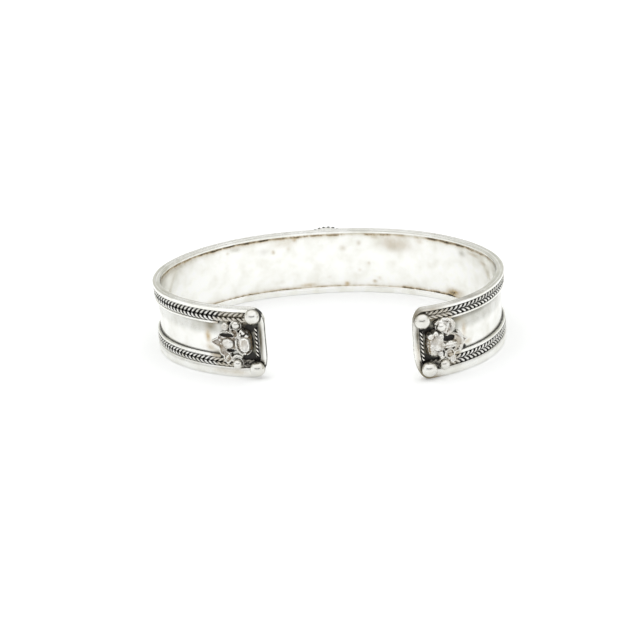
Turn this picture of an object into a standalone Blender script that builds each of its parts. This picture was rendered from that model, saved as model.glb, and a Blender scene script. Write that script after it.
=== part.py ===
"""An open silver cuff with an opal on its front, built in metres with +Z up.

The band stands on its lower edge. Its opening faces -Y and the stone faces +Y. A silversmith makes
such a cuff flat and then bends it, so every form here is placed by three numbers: how far it lies
along the band from the middle of the front (run), its height above the lower edge (height), and how
far it stands out from the frame's outer face (out).
"""

import math
from collections import namedtuple

import bmesh
import bpy
from mathutils import Vector

MM = 0.001

# The band: a sheet with a frame wire round its whole outline
BAND_HEIGHT = 12.4 * MM
FRAME_WIDTH = 0.8 * MM
END_FRAME_WIDTH = 1.15 * MM
LOWER_FRAME_WIDTH = 1.5 * MM
FRAME_CHAMFER = 0.2 * MM
SHEET_THICKNESS = 0.5 * MM
SHEET_RECESS = 0.7 * MM
INNER_LIP = 0.15 * MM
FRAME_THICKNESS = SHEET_RECESS + SHEET_THICKNESS + INNER_LIP

# The outline's corners were filed by hand, so each is its own quarter ellipse. It reaches along the
# band by a share of the corner reach, and up it by a share of half the band's height.
CORNER_REACH = 2.5 * MM
Corner = namedtuple("Corner", "along up")
CORNERS = {
    ("right", "lower"): Corner(1.0, 0.8),
    ("right", "upper"): Corner(0.8, 0.6),
    ("left", "upper"): Corner(1.05, 0.42),
    ("left", "lower"): Corner(1.1, 0.68),
}

# Each braid is two ropes side by side with a plain wire along its inner side
ROPE_DIAMETER = 0.85 * MM
ROPE_SUNK = 0.15 * MM
INNER_WIRE_WIDTH = 0.4 * MM
INNER_WIRE_RISE = 0.58 * MM
SOLDER_OVERLAP = 0.06 * MM

# The ends: two corner balls, placed from the end and from the edge by shares of their diameter
CORNER_BALL_DIAMETER = 2.65 * MM
CORNER_BALL_SUNK = 0.35 * MM
CornerBall = namedtuple("CornerBall", "side level from_end from_edge")
CORNER_BALLS = (
    CornerBall("left", "upper", 0.725, 0.51),
    CornerBall("left", "lower", 0.655, 0.66),
    CornerBall("right", "upper", 0.62, 0.79),
    CornerBall("right", "lower", 0.9, 0.69),
)

# A short upright wire stands between the corner balls, a little below the middle on the right
BRAID_FROM_END = 2.0 * MM
END_WIRE_DIAMETER = 0.7 * MM
END_WIRE_LENGTH = 5.0 * MM
END_WIRE_FROM_END = 1.7 * MM
END_WIRE_SUNK = 0.08 * MM
END_WIRE_OFF_MIDDLE = {"left": 0.0, "right": -0.09 * END_WIRE_LENGTH}

# The stone on the front, and the bezel, the ring wire and the plate worked out from it
STONE_DIAMETER = 9.0 * MM
STONE_GIRDLE = 0.8 * MM
STONE_DOME = 2.2 * MM
STONE_CLEARANCE = 0.3 * MM
BEZEL_WALL = 0.4 * MM
BEZEL_RISE = 1.5 * MM
RING_WIRE_DIAMETER = 0.9 * MM
RING_CLEARANCE = 0.06 * MM
RING_OVERHANG = 0.1 * MM
SETTING_PLATE_RISE = 1.3 * MM
BEZEL_DIAMETER = STONE_DIAMETER + 2 * (STONE_CLEARANCE + BEZEL_WALL)
RING_DIAMETER = BEZEL_DIAMETER + RING_WIRE_DIAMETER + 2 * RING_CLEARANCE
SETTING_PLATE_DIAMETER = RING_DIAMETER + RING_WIRE_DIAMETER - 2 * RING_OVERHANG

# How finely curves are divided
STATION_SPACING = 2.6 * MM
CORNER_STEPS = 5
ROPE_STEPS = 4
DOME_STEPS = 7
LOBE_SIDES = 14
BALL_SIDES = 14
SETTING_SIDES = 40
RING_SECTION_SIDES = 10
SMOOTH_ANGLE = math.radians(35)

# The part of each rope's round section that shows, in degrees round it from the band's edge
ROPE_ARC_START = 160
ROPE_ARC_STOP = 20

# How a lobe's side rounds over, as (share of its reach, share of its rise)
LOBE_SHOULDER = ((1.0, 0.45), (0.86, 0.78), (0.5, 0.96))

# The bends on each side of the front's middle, from the front to the end. The band's size round
# the wrist comes from one radius, and each bend's radius is a share of it.
WRIST_RADIUS = 25.0 * MM
Bend = namedtuple("Bend", "radius sweep")
RIGHT_BENDS = (
    Bend(1.46 * WRIST_RADIUS, math.radians(21)),
    Bend(1.26 * WRIST_RADIUS, math.radians(42)),
    Bend(0.94 * WRIST_RADIUS, math.radians(54)),
    Bend(0.74 * WRIST_RADIUS, math.radians(53.4)),
)
LEFT_BENDS = (
    Bend(1.96 * WRIST_RADIUS, math.radians(12)),
    Bend(1.04 * WRIST_RADIUS, math.radians(47)),
    Bend(0.76 * WRIST_RADIUS, math.radians(71)),
    Bend(1.02 * WRIST_RADIUS, math.radians(44.3)),
)

# Each end's ornament, from the foremost form to the tip. The two were struck and trimmed by hand and
# differ. All lengths are shares of the ornament's size. The plan power is 2 for an ellipse, nearer 1
# for a pointed leaf and above 2 for a block.
ORNAMENT_SIZE = 10.0 * MM
Lobe = namedtuple("Lobe", "name from_end off_middle length width rise turn plan_power")
LOBES = {
    "left": (
        Lobe("heart", 0.414, 0.0, 0.36, 0.5, 0.06, 0.0, 2.4),
        Lobe("boss", 0.374, 0.005, 0.29, 0.39, 0.12, 0.0, 2.4),
        Lobe("crown", 0.335, 0.01, 0.17, 0.27, 0.2, 0.0, 3.0),
        Lobe("collar", 0.729, -0.02, 0.39, 0.46, 0.055, 0.0, 2.0),
        Lobe("point", 0.869, -0.025, 0.29, 0.23, 0.06, 0.0, 1.25),
        Lobe("tongue", 0.684, -0.025, 0.23, 0.19, 0.115, 0.0, 2.0),
        Lobe("leaf", 0.749, 0.3, 0.19, 0.11, 0.1, math.radians(85), 1.4),
        Lobe("petal", 0.699, -0.3, 0.19, 0.13, 0.075, math.radians(40), 1.8),
        Lobe("upper_cup", 0.5, 0.31, 0.2, 0.2, 0.07, 0.0, 2.2),
        Lobe("lower_cup", 0.499, -0.345, 0.24, 0.22, 0.07, 0.0, 2.2),
    ),
    "right": (
        Lobe("heart", 0.411, -0.01, 0.36, 0.54, 0.06, 0.0, 2.4),
        Lobe("boss", 0.381, -0.02, 0.275, 0.42, 0.16, 0.0, 2.6),
        Lobe("crown", 0.375, -0.02, 0.22, 0.36, 0.2, 0.0, 3.0),
        Lobe("collar", 0.701, -0.085, 0.36, 0.42, 0.055, 0.0, 2.0),
        Lobe("point", 0.831, -0.075, 0.27, 0.24, 0.06, 0.0, 1.25),
        Lobe("tongue", 0.648, -0.09, 0.24, 0.13, 0.11, 0.0, 2.4),
        Lobe("petal", 0.62, 0.24, 0.23, 0.26, 0.095, 0.0, 2.0),
        Lobe("bud", 0.632, -0.25, 0.18, 0.16, 0.09, 0.0, 2.0),
        Lobe("sepal", 0.685, -0.34, 0.13, 0.17, 0.07, 0.0, 2.0),
        Lobe("upper_cup", 0.481, 0.27, 0.21, 0.25, 0.07, 0.0, 2.2),
        Lobe("lower_cup", 0.505, -0.4, 0.21, 0.21, 0.07, 0.0, 2.2),
    ),
}

# The pierced slots above and below each tongue
Slot = namedtuple("Slot", "name from_end off_middle length width turn")
SLOTS = {
    "left": (
        Slot("upper", 0.709, 0.115, 0.27, 0.06, 0.0),
        Slot("lower", 0.639, -0.155, 0.19, 0.042, 0.0),
    ),
    "right": (
        Slot("upper", 0.645, 0.01, 0.21, 0.08, math.radians(-5)),
        Slot("lower", 0.66, -0.172, 0.19, 0.035, 0.0),
    ),
}

# The small balls in the cups
SMALL_BALL_DIAMETER = 1.35 * MM
SMALL_BALL_RISE = 0.2 * MM
SmallBall = namedtuple("SmallBall", "side name from_end off_middle")
SMALL_BALLS = (
    SmallBall("left", "upper", 0.495, 0.33),
    SmallBall("left", "lower", 0.519, -0.385),
    SmallBall("right", "upper", 0.481, 0.27),
    SmallBall("right", "lower", 0.51, -0.41),
)

SILVER_COLOUR = (0.80, 0.78, 0.74, 1.0)
OPAL_COLOUR = (0.52, 0.70, 0.72, 1.0)


def half_length(bends):
    return sum(bend.radius * bend.sweep for bend in bends)


RIGHT_END = half_length(RIGHT_BENDS)
LEFT_END = -half_length(LEFT_BENDS)
SHEET_OUT = -SHEET_RECESS


def on_band(run, height, out):
    """The point of the bent band that the flat place (run, height, out) goes to."""
    side = 1 if run >= 0 else -1
    left = abs(run)
    x = y = heading = 0.0
    for bend in RIGHT_BENDS if side > 0 else LEFT_BENDS:
        turn = min(left / bend.radius, bend.sweep)
        x += bend.radius * (math.sin(heading + turn) - math.sin(heading))
        y += bend.radius * (math.cos(heading + turn) - math.cos(heading))
        heading += turn
        left -= turn * bend.radius
    x += left * math.cos(heading) + out * math.sin(heading)
    y += out * math.cos(heading) - left * math.sin(heading)
    return Vector((side * x, y, height))


def spread(start, stop, spacing):
    """Evenly spaced values from start to stop, no further apart than the spacing."""
    steps = max(1, math.ceil(abs(stop - start) / spacing))
    return [start + (stop - start) * i / steps for i in range(steps + 1)]


def material(name, colour, metallic, roughness):
    made = bpy.data.materials.new(name)
    made.use_nodes = True
    shader = made.node_tree.nodes["Principled BSDF"]
    shader.inputs["Base Color"].default_value = colour
    shader.inputs["Metallic"].default_value = metallic
    shader.inputs["Roughness"].default_value = roughness
    made.diffuse_color = colour
    return made


def mesh_object(name, points, faces):
    """A closed smooth object from points and faces, with its faces turned outwards."""
    mesh = bpy.data.meshes.new(name)
    mesh.from_pydata([tuple(p) for p in points], [], faces)
    shell = bmesh.new()
    shell.from_mesh(mesh)
    bmesh.ops.recalc_face_normals(shell, faces=shell.faces)
    shell.to_mesh(mesh)
    shell.free()
    mesh.shade_smooth()
    mesh.set_sharp_from_angle(angle=SMOOTH_ANGLE)
    made = bpy.data.objects.new(name, mesh)
    bpy.context.scene.collection.objects.link(made)
    return made


def rows_object(name, rows, closed=False):
    """Joins equal rows of points into one skin, capped at its ends or closed into a loop."""
    count = len(rows[0])
    points = [p for row in rows for p in row]
    faces = []
    for i in range(len(rows) if closed else len(rows) - 1):
        here, there = i * count, (i + 1) % len(rows) * count
        for j in range(count):
            k = (j + 1) % count
            faces.append((here + j, here + k, there + k, there + j))
    if not closed:
        faces.append(tuple(range(count)))
        faces.append(tuple(range(len(points) - count, len(points))))
    return mesh_object(name, points, faces)


def turned(name, profile, sides, place):
    """Turns a profile of (radius, rise) pairs; a radius of zero makes a pole."""
    points, rings = [], []
    for radius, rise in profile:
        count = sides if radius > 0 else 1
        rings.append(list(range(len(points), len(points) + count)))
        for i in range(count):
            angle = 2 * math.pi * i / sides
            points.append(place(radius * math.cos(angle), radius * math.sin(angle), rise))
    faces = []
    for a, b in zip(rings, rings[1:]):
        for i in range(sides):
            ring = (a[i % len(a)], a[(i + 1) % len(a)], b[(i + 1) % len(b)], b[i % len(b)])
            faces.append(tuple(dict.fromkeys(ring)))
    return mesh_object(name, points, faces)


def around(centre):
    """Places a turned form upright about a point."""
    return lambda x, y, z: centre + Vector((x, y, z))


def ball(name, centre, diameter):
    rows = BALL_SIDES // 2
    radius = diameter / 2
    angles = [math.pi * i / rows for i in range(rows + 1)]
    profile = [(radius * math.sin(a), radius * math.cos(a)) for a in angles]
    profile[0] = (0.0, radius)
    profile[-1] = (0.0, -radius)
    return turned(name, profile, BALL_SIDES, around(centre))


def corner_size(side, level):
    """How far a corner of the outline reaches along the band and up it."""
    corner = CORNERS[side, level]
    return corner.along * CORNER_REACH, corner.up * BAND_HEIGHT / 2


def corner_centre(side, level):
    """The run and the height that a corner's quarter ellipse is drawn about."""
    reach, rise = corner_size(side, level)
    run = RIGHT_END - reach if side == "right" else LEFT_END + reach
    return run, rise if level == "lower" else BAND_HEIGHT - rise


def frame_outline():
    """The band's outline as (run, height, inward run, inward height), once round it."""
    outline = []
    corners = tuple(CORNERS)
    for number, corner in enumerate(corners):
        reach, rise = corner_size(*corner)
        run, height = corner_centre(*corner)
        for i in range(CORNER_STEPS + 1):
            angle = math.radians(90 * (number - 1 + i / CORNER_STEPS))
            along, up = math.cos(angle), math.sin(angle)
            slope = math.hypot(along * rise, up * reach)
            outline.append((run + reach * along, height + rise * up,
                            -along * rise / slope, -up * reach / slope))
        edge = outline[-1][1:]
        following = corner_centre(*corners[(number + 1) % len(corners)])[0]
        for between in spread(run, following, STATION_SPACING)[1:-1]:
            outline.append((between, *edge))
    return outline


def frame_profile(wide):
    """The frame wire's section as (inward, out), its edges chamfered."""
    thick, cut = FRAME_THICKNESS, FRAME_CHAMFER
    return (
        (0.0, -cut),
        (cut, 0.0),
        (wide - cut, 0.0),
        (wide, -cut),
        (wide, cut - thick),
        (wide - cut, -thick),
        (cut, -thick),
        (0.0, cut - thick),
    )


def frame_wire():
    """The frame wire, carried right round the outline and wider at the ends and along the foot."""
    rows = []
    for run, height, along, up in frame_outline():
        at_end = (END_FRAME_WIDTH - FRAME_WIDTH) * along**2
        at_foot = (LOWER_FRAME_WIDTH - FRAME_WIDTH) * max(up, 0.0) ** 2
        profile = frame_profile(FRAME_WIDTH + at_end + at_foot)
        rows.append([on_band(run + w * along, height + w * up, out) for w, out in profile])
    return rows_object("frame_wire_form", rows, closed=True)


def sheet_edge(side, level, from_end):
    """How far the sheet's edge, let into the wire, lies from the band's edge."""
    reach, rise = corner_size(side, level)
    inset = FRAME_WIDTH / 2
    short = min(max(0.0, reach - from_end) / (reach - inset), 1.0)
    return rise - (rise - inset) * math.sqrt(1 - short**2)


def sheet():
    """The sheet inside the frame, let into the wire by half the wire's width."""
    inset = FRAME_WIDTH / 2
    ends = {}
    for side in ("left", "right"):
        reach = max(corner_size(side, level)[0] for level in ("lower", "upper"))
        turns = [math.pi / 2 * i / CORNER_STEPS for i in range(CORNER_STEPS + 1)]
        ends[side] = [reach - (reach - inset) * math.cos(turn) for turn in turns]
    runs = [LEFT_END + from_end for from_end in ends["left"]]
    last_runs = [RIGHT_END - from_end for from_end in reversed(ends["right"])]
    runs += spread(runs[-1], last_runs[0], STATION_SPACING)[1:-1] + last_runs
    rows = []
    far = SHEET_OUT - SHEET_THICKNESS
    for run in runs:
        side = "right" if run > 0 else "left"
        from_end = RIGHT_END - run if run > 0 else run - LEFT_END
        low = sheet_edge(side, "lower", from_end)
        high = BAND_HEIGHT - sheet_edge(side, "upper", from_end)
        rows.append([on_band(run, low, SHEET_OUT), on_band(run, high, SHEET_OUT),
                     on_band(run, high, far), on_band(run, low, far)])
    return rows_object("sheet_form", rows)


def braid_profile(frame_width):
    """One braid's section as (distance from the band's edge, out): two ropes, then the wire."""
    radius = ROPE_DIAMETER / 2
    foot = SHEET_OUT - SHEET_THICKNESS / 2
    centre_out = SHEET_OUT + radius - ROPE_SUNK
    profile = [(frame_width - SOLDER_OVERLAP, foot), (frame_width - SOLDER_OVERLAP, centre_out)]
    for rope in range(2):
        centre = frame_width + radius + rope * ROPE_DIAMETER
        for i in range(ROPE_STEPS + 1):
            angle = ROPE_ARC_START + (ROPE_ARC_STOP - ROPE_ARC_START) * i / ROPE_STEPS
            angle = math.radians(angle)
            profile.append((centre + radius * math.cos(angle), centre_out + radius * math.sin(angle)))
    start = frame_width + 2 * ROPE_DIAMETER
    top = SHEET_OUT + INNER_WIRE_RISE
    cut = INNER_WIRE_WIDTH / 4
    profile.append((start, top - cut))
    profile.append((start + cut, top))
    profile.append((start + INNER_WIRE_WIDTH - cut, top))
    profile.append((start + INNER_WIRE_WIDTH, top - cut))
    profile.append((start + INNER_WIRE_WIDTH, foot))
    return profile


def braid(name, upper):
    """A braid's two ropes and its inner wire, from the ball at one end to that at the other."""
    runs = spread(LEFT_END + BRAID_FROM_END, RIGHT_END - BRAID_FROM_END, STATION_SPACING)
    profile = braid_profile(FRAME_WIDTH if upper else LOWER_FRAME_WIDTH)
    rows = []
    for run in runs:
        row = []
        for from_edge, out in profile:
            row.append(on_band(run, BAND_HEIGHT - from_edge if upper else from_edge, out))
        rows.append(row)
    return rows_object(name, rows)


def from_end_place(side, from_end, off, out):
    """The bent place that lies this far from one end, off the middle of the band, and out."""
    run = RIGHT_END - from_end if side == "right" else LEFT_END + from_end
    return on_band(run, BAND_HEIGHT / 2 + off, out)


def turned_about(shape, along, across):
    """A place of an ornament's form as (from the end, off the middle), turned as the form is."""
    turn_cos, turn_sin = math.cos(shape.turn), math.sin(shape.turn)
    from_end = shape.from_end * ORNAMENT_SIZE + along * turn_cos + across * turn_sin
    off = shape.off_middle * ORNAMENT_SIZE - along * turn_sin + across * turn_cos
    return from_end, off


def lobe(side, shape):
    """A rounded raised lobe of an ornament, its foot let into the sheet."""
    power = 2 / shape.plan_power
    half_along = shape.length * ORNAMENT_SIZE / 2
    half_across = shape.width * ORNAMENT_SIZE / 2
    full_rise = shape.rise * ORNAMENT_SIZE

    def place(x, y, rise):
        angle = math.atan2(y, x)
        reach = math.hypot(x, y)
        along = math.copysign(abs(math.cos(angle)) ** power, math.cos(angle)) * reach * half_along
        across = math.copysign(abs(math.sin(angle)) ** power, math.sin(angle)) * reach * half_across
        return from_end_place(side, *turned_about(shape, along, across), SHEET_OUT + rise)

    foot = -SHEET_THICKNESS / 2
    profile = [(0.0, foot), (1.0, foot)]
    profile += [(reach, full_rise * share) for reach, share in LOBE_SHOULDER]
    profile.append((0.0, full_rise))
    return turned(f"{side}_{shape.name}_form", profile, LOBE_SIDES, place)


def slot_cutter(side, slot):
    """A long rounded bar that pierces the ornament beside its tongue."""
    radius = slot.width * ORNAMENT_SIZE / 2
    reach = slot.length * ORNAMENT_SIZE / 2 - radius
    outline = []
    for centre, start in ((reach, -90), (-reach, 90)):
        for i in range(CORNER_STEPS + 1):
            angle = math.radians(start + 180 * i / CORNER_STEPS)
            outline.append((centre + radius * math.cos(angle), radius * math.sin(angle)))
    rows = []
    for out in (SHEET_OUT - SHEET_THICKNESS, FRAME_THICKNESS):
        rows.append([from_end_place(side, *turned_about(slot, along, across), out)
                     for along, across in outline])
    return rows_object(f"{side}_slot_{slot.name}_cutter", rows)


def ornament(side):
    """One end's struck ornament: its lobes joined, and its two slots pierced."""
    forms = [lobe(side, shape) for shape in LOBES[side]]
    body = forms[0]
    join(body, forms[1:], f"{side}_lobes")
    for slot in SLOTS[side]:
        cutter = slot_cutter(side, slot)
        hide(cutter)
        cut(body, cutter)
    return body


def end_wire(side):
    """The short upright wire, a turned bar."""
    wire = END_WIRE_DIAMETER / 2
    reach = END_WIRE_LENGTH / 2
    middle = from_end_place(side, END_WIRE_FROM_END, END_WIRE_OFF_MIDDLE[side],
                            SHEET_OUT + wire - END_WIRE_SUNK)
    profile = [(0.0, -reach), (wire, -reach), (wire, reach), (0.0, reach)]
    return turned(f"{side}_end_wire_form", profile, LOBE_SIDES, around(middle))


def balls():
    """The corner balls and the small balls in their cups."""
    forms = []
    for row in CORNER_BALLS:
        off = BAND_HEIGHT / 2 - row.from_edge * CORNER_BALL_DIAMETER
        centre = from_end_place(row.side, row.from_end * CORNER_BALL_DIAMETER,
                                off if row.level == "upper" else -off,
                                SHEET_OUT + CORNER_BALL_DIAMETER / 2 - CORNER_BALL_SUNK)
        forms.append(ball(f"{row.side}_corner_ball_{row.level}_form", centre, CORNER_BALL_DIAMETER))
    for row in SMALL_BALLS:
        centre = from_end_place(row.side, row.from_end * ORNAMENT_SIZE, row.off_middle * ORNAMENT_SIZE,
                                SHEET_OUT + SMALL_BALL_DIAMETER / 2 + SMALL_BALL_RISE)
        forms.append(ball(f"{row.side}_small_ball_{row.name}_form", centre, SMALL_BALL_DIAMETER))
    return forms


def in_setting(x, y, rise):
    """A point of the front's setting: x along the band, y up it, rise outwards."""
    return on_band(0.0, BAND_HEIGHT / 2, rise) + Vector((x, 0.0, y))


def setting():
    """The plate, the bezel and the ring wire round it, each a closed turned form."""
    plate = SETTING_PLATE_DIAMETER / 2
    outer = BEZEL_DIAMETER / 2
    inner = outer - BEZEL_WALL
    top = SETTING_PLATE_RISE + BEZEL_RISE
    foot = SHEET_OUT - SHEET_THICKNESS / 2
    profile = [
        (0.0, foot),
        (plate, foot),
        (plate, SETTING_PLATE_RISE),
        (outer, SETTING_PLATE_RISE),
        (outer, top),
        (inner, top),
        (inner, SETTING_PLATE_RISE),
        (0.0, SETTING_PLATE_RISE),
    ]
    body = turned("setting_form", profile, SETTING_SIDES, in_setting)
    rows = []
    wire = RING_WIRE_DIAMETER / 2
    for i in range(SETTING_SIDES):
        angle = 2 * math.pi * i / SETTING_SIDES
        row = []
        for j in range(RING_SECTION_SIDES):
            about = 2 * math.pi * j / RING_SECTION_SIDES
            reach = RING_DIAMETER / 2 + wire * math.cos(about)
            rise = SETTING_PLATE_RISE + wire / 2 + wire * math.sin(about)
            row.append(in_setting(reach * math.cos(angle), reach * math.sin(angle), rise))
        rows.append(row)
    return [body, rows_object("ring_wire_form", rows, closed=True)]


def opal():
    """The cabochon: flat under, a short straight girdle and a domed top."""
    radius = STONE_DIAMETER / 2
    low = SETTING_PLATE_RISE + STONE_CLEARANCE
    profile = [(0.0, low), (radius, low)]
    for i in range(DOME_STEPS):
        angle = math.pi / 2 * i / DOME_STEPS
        profile.append((radius * math.cos(angle), low + STONE_GIRDLE + STONE_DOME * math.sin(angle)))
    profile.append((0.0, low + STONE_GIRDLE + STONE_DOME))
    return turned("opal", profile, SETTING_SIDES, in_setting)


def hide(form):
    form.hide_render = True
    form.display_type = "WIRE"


def join(body, forms, name):
    """Unites the forms with the body, and hides them."""
    group = bpy.data.collections.new(name)
    bpy.context.scene.collection.children.link(group)
    for form in forms:
        group.objects.link(form)
        bpy.context.scene.collection.objects.unlink(form)
        hide(form)
    united = body.modifiers.new(name, "BOOLEAN")
    united.operation = "UNION"
    united.solver = "EXACT"
    united.operand_type = "COLLECTION"
    united.collection = group


def cut(body, cutter):
    difference = body.modifiers.new(cutter.name, "BOOLEAN")
    difference.operation = "DIFFERENCE"
    difference.solver = "EXACT"
    difference.object = cutter


def silver_cuff():
    """Everything that is soldered together, as the one solid that it is."""
    cuff = sheet()
    cuff.name = "silver_cuff"
    forms = [frame_wire(), braid("braid_upper_form", True), braid("braid_lower_form", False)]
    for side in ("right", "left"):
        forms += [ornament(side), end_wire(side)]
    forms += balls() + setting()
    join(cuff, forms, "soldered_forms")
    return cuff


def stand_at_origin(nodes):
    """Puts the origin under the middle of the nodes' common box, on the lower edge."""
    bpy.context.view_layer.update()
    graph = bpy.context.evaluated_depsgraph_get()
    corners = []
    for node in nodes:
        shape = node.evaluated_get(graph)
        corners += [shape.matrix_world @ Vector(corner) for corner in shape.bound_box]
    low = Vector(min(c[i] for c in corners) for i in range(3))
    high = Vector(max(c[i] for c in corners) for i in range(3))
    base = bpy.data.objects.new("cuff_base", None)
    bpy.context.scene.collection.objects.link(base)
    for form in bpy.data.objects:
        if form.type == "MESH":
            form.parent = base
    base.location = (-(low.x + high.x) / 2, -(low.y + high.y) / 2, -low.z)


for old in list(bpy.data.objects):
    bpy.data.objects.remove(old)

cuff_node = silver_cuff()
cuff_node.data.materials.append(material("oxidised_silver", SILVER_COLOUR, 1.0, 0.25))
opal_node = opal()
opal_node.data.materials.append(material("opal", OPAL_COLOUR, 0.0, 0.12))
stand_at_origin([cuff_node, opal_node])
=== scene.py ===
# %% [markdown]
# # An open silver cuff with an opal on its front
#
# A silversmith makes such a cuff flat. The sheet, the wires and the struck ornaments are soldered
# together on the bench, and the finished strip is then bent round to the wrist. This lesson works in
# the same order: each piece is worked out flat, in three numbers called run, height and out, and one
# function bends them all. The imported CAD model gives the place, the size and the box that all of it
# has to stay in.

# %% The frame
import math
from collections import namedtuple

import bmesh
import bpy
import numpy as np
from mathutils import Matrix, Vector


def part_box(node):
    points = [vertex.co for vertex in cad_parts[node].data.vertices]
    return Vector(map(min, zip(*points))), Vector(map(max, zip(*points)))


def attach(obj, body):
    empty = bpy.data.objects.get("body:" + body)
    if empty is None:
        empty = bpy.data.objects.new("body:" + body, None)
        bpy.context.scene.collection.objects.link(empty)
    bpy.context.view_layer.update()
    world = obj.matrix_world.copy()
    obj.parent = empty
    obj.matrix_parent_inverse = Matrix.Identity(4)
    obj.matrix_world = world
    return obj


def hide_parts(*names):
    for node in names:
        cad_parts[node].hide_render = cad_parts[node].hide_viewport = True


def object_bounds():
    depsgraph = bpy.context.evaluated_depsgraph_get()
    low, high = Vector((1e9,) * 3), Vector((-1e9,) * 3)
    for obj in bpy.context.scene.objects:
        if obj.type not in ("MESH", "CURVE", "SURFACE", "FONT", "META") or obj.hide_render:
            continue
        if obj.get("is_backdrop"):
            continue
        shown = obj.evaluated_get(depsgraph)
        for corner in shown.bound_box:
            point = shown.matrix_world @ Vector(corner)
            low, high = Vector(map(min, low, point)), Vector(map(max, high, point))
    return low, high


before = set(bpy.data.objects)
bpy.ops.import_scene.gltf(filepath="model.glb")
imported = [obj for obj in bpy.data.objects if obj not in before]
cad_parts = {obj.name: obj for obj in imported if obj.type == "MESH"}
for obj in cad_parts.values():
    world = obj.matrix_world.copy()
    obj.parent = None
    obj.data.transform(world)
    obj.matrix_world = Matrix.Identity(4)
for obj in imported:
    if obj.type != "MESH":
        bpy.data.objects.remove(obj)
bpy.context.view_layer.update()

MM = 0.001

# %% [markdown]
# ## Bending the strip
#
# Seen from above, the band is a chain of arcs, each tangent to the one before. A point's run is how
# far along the band it lies from the middle of the front, its height is measured up from the lower
# edge, and its out is how far it stands out from the frame's outer face. Walking the arcs for whole
# arrays of points at once keeps numpy fast, because the only loop is over the four bends.

# %% From the flat strip to the wrist
BAND_HEIGHT = 12.4 * MM
MIDDLE = BAND_HEIGHT / 2
# The bends on each side, from the front to the end: each one's radius in mm and its sweep in degrees
RIGHT_BENDS = ((36.5, 21), (31.5, 42), (23.5, 54), (18.5, 53.4))
LEFT_BENDS = ((49.0, 12), (26.0, 47), (19.0, 71), (25.5, 44.3))
OPAL_TOP_OUT = 4.6 * MM

opal_low, opal_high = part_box("opal")
FRONT_X = (opal_low.x + opal_high.x) / 2
FRONT_Y = opal_high.y - OPAL_TOP_OUT


def band_end(bends):
    """The band's length on one side of the front: the sum of radius times angle."""
    return sum(radius * MM * math.radians(sweep) for radius, sweep in bends)


RIGHT_END = band_end(RIGHT_BENDS)
LEFT_END = -band_end(LEFT_BENDS)


def on_band(run, height, out):
    """Bends flat places: each arc adds r(sin(h + t) - sin h), r(cos(h + t) - cos h) at heading h."""
    run, height, out = np.broadcast_arrays(run, height, out)
    left = np.abs(run)
    x, y, heading = (np.zeros(run.shape) for _ in range(3))
    for right_bend, left_bend in zip(RIGHT_BENDS, LEFT_BENDS):
        radius = np.where(run >= 0, right_bend[0], left_bend[0]) * MM
        sweep = np.radians(np.where(run >= 0, right_bend[1], left_bend[1]))
        turn = np.minimum(left / radius, sweep)
        x += radius * (np.sin(heading + turn) - np.sin(heading))
        y += radius * (np.cos(heading + turn) - np.cos(heading))
        heading += turn
        left = left - turn * radius
    x += left * np.cos(heading) + out * np.sin(heading)
    y += out * np.cos(heading) - left * np.sin(heading)
    return np.stack([np.where(run >= 0, x, -x) + FRONT_X, y + FRONT_Y, height], axis=-1)


def run_at(side, place):
    """The run of a place given in mm from the left end, from the right end or from the front."""
    return {"left": LEFT_END + place * MM, "right": RIGHT_END - place * MM, "front": place * MM}[side]


print("ends in mm:", round(LEFT_END / MM, 2), round(RIGHT_END / MM, 2))

# %% [markdown]
# ## Skins and shades
#
# Nearly every piece here is a grid of points: rows along the piece, columns round it. One function
# turns such a grid into a mesh and closes it where it should be closed. Each point also keeps three
# shades that the finishes read: how black the silver is there, from oxide in its hollows and from
# painted shade, how much tan solder has stained it, and how grey-green it is, which is partly a film
# of tarnish and partly painted shade and painted reflection.

# %% Grids into meshes
SHADES = ("black", "stain", "haze")


def quads(rows, columns, wrap_rows, wrap_columns):
    """Joins point i*columns + j to its neighbours in the next row and the next column."""
    i = np.arange(rows if wrap_rows else rows - 1)[:, None]
    j = np.arange(columns if wrap_columns else columns - 1)[None, :]
    i_next, j_next = (i + 1) % rows, (j + 1) % columns
    corners = (i * columns + j, i * columns + j_next, i_next * columns + j_next, i_next * columns + j)
    return np.stack(np.broadcast_arrays(*corners), axis=-1).reshape(-1, 4)


def made_object(name, points, faces, shades, node="silver_cuff", slot="silver"):
    """A smooth object with its points' shades, riding on the root body for a CAD node."""
    mesh = bpy.data.meshes.new(name)
    mesh.from_pydata(points.reshape(-1, 3), [], faces)
    for label in SHADES:
        layer = mesh.attributes.new(label, "FLOAT", "POINT")
        flat = np.broadcast_to(shades.get(label, 0.0), points.shape[:-1]).ravel()
        layer.data.foreach_set("value", np.clip(flat, 0, 1).astype(np.float32))
    shell = bmesh.new()
    shell.from_mesh(mesh)
    if shell.calc_volume(signed=True) < 0:
        mesh.flip_normals()
    shell.free()
    mesh.shade_smooth()
    made = bpy.data.objects.new(name, mesh)
    bpy.context.scene.collection.objects.link(made)
    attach(made, "root")
    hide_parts(node)
    print(f"{name}: {sum(len(f) - 2 for f in faces):,} triangles")
    return made


def skin(name, grid, shades, wrap_rows=False, **kind):
    """A tube-like skin from a (rows, columns, 3) grid, closed round its columns and capped."""
    rows, columns = grid.shape[:2]
    faces = quads(rows, columns, wrap_rows, True).tolist()
    if not wrap_rows:
        faces.append(list(range(columns))[::-1])
        faces.append(list(range((rows - 1) * columns, rows * columns)))
    return made_object(name, grid, faces, shades, **kind)


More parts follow.
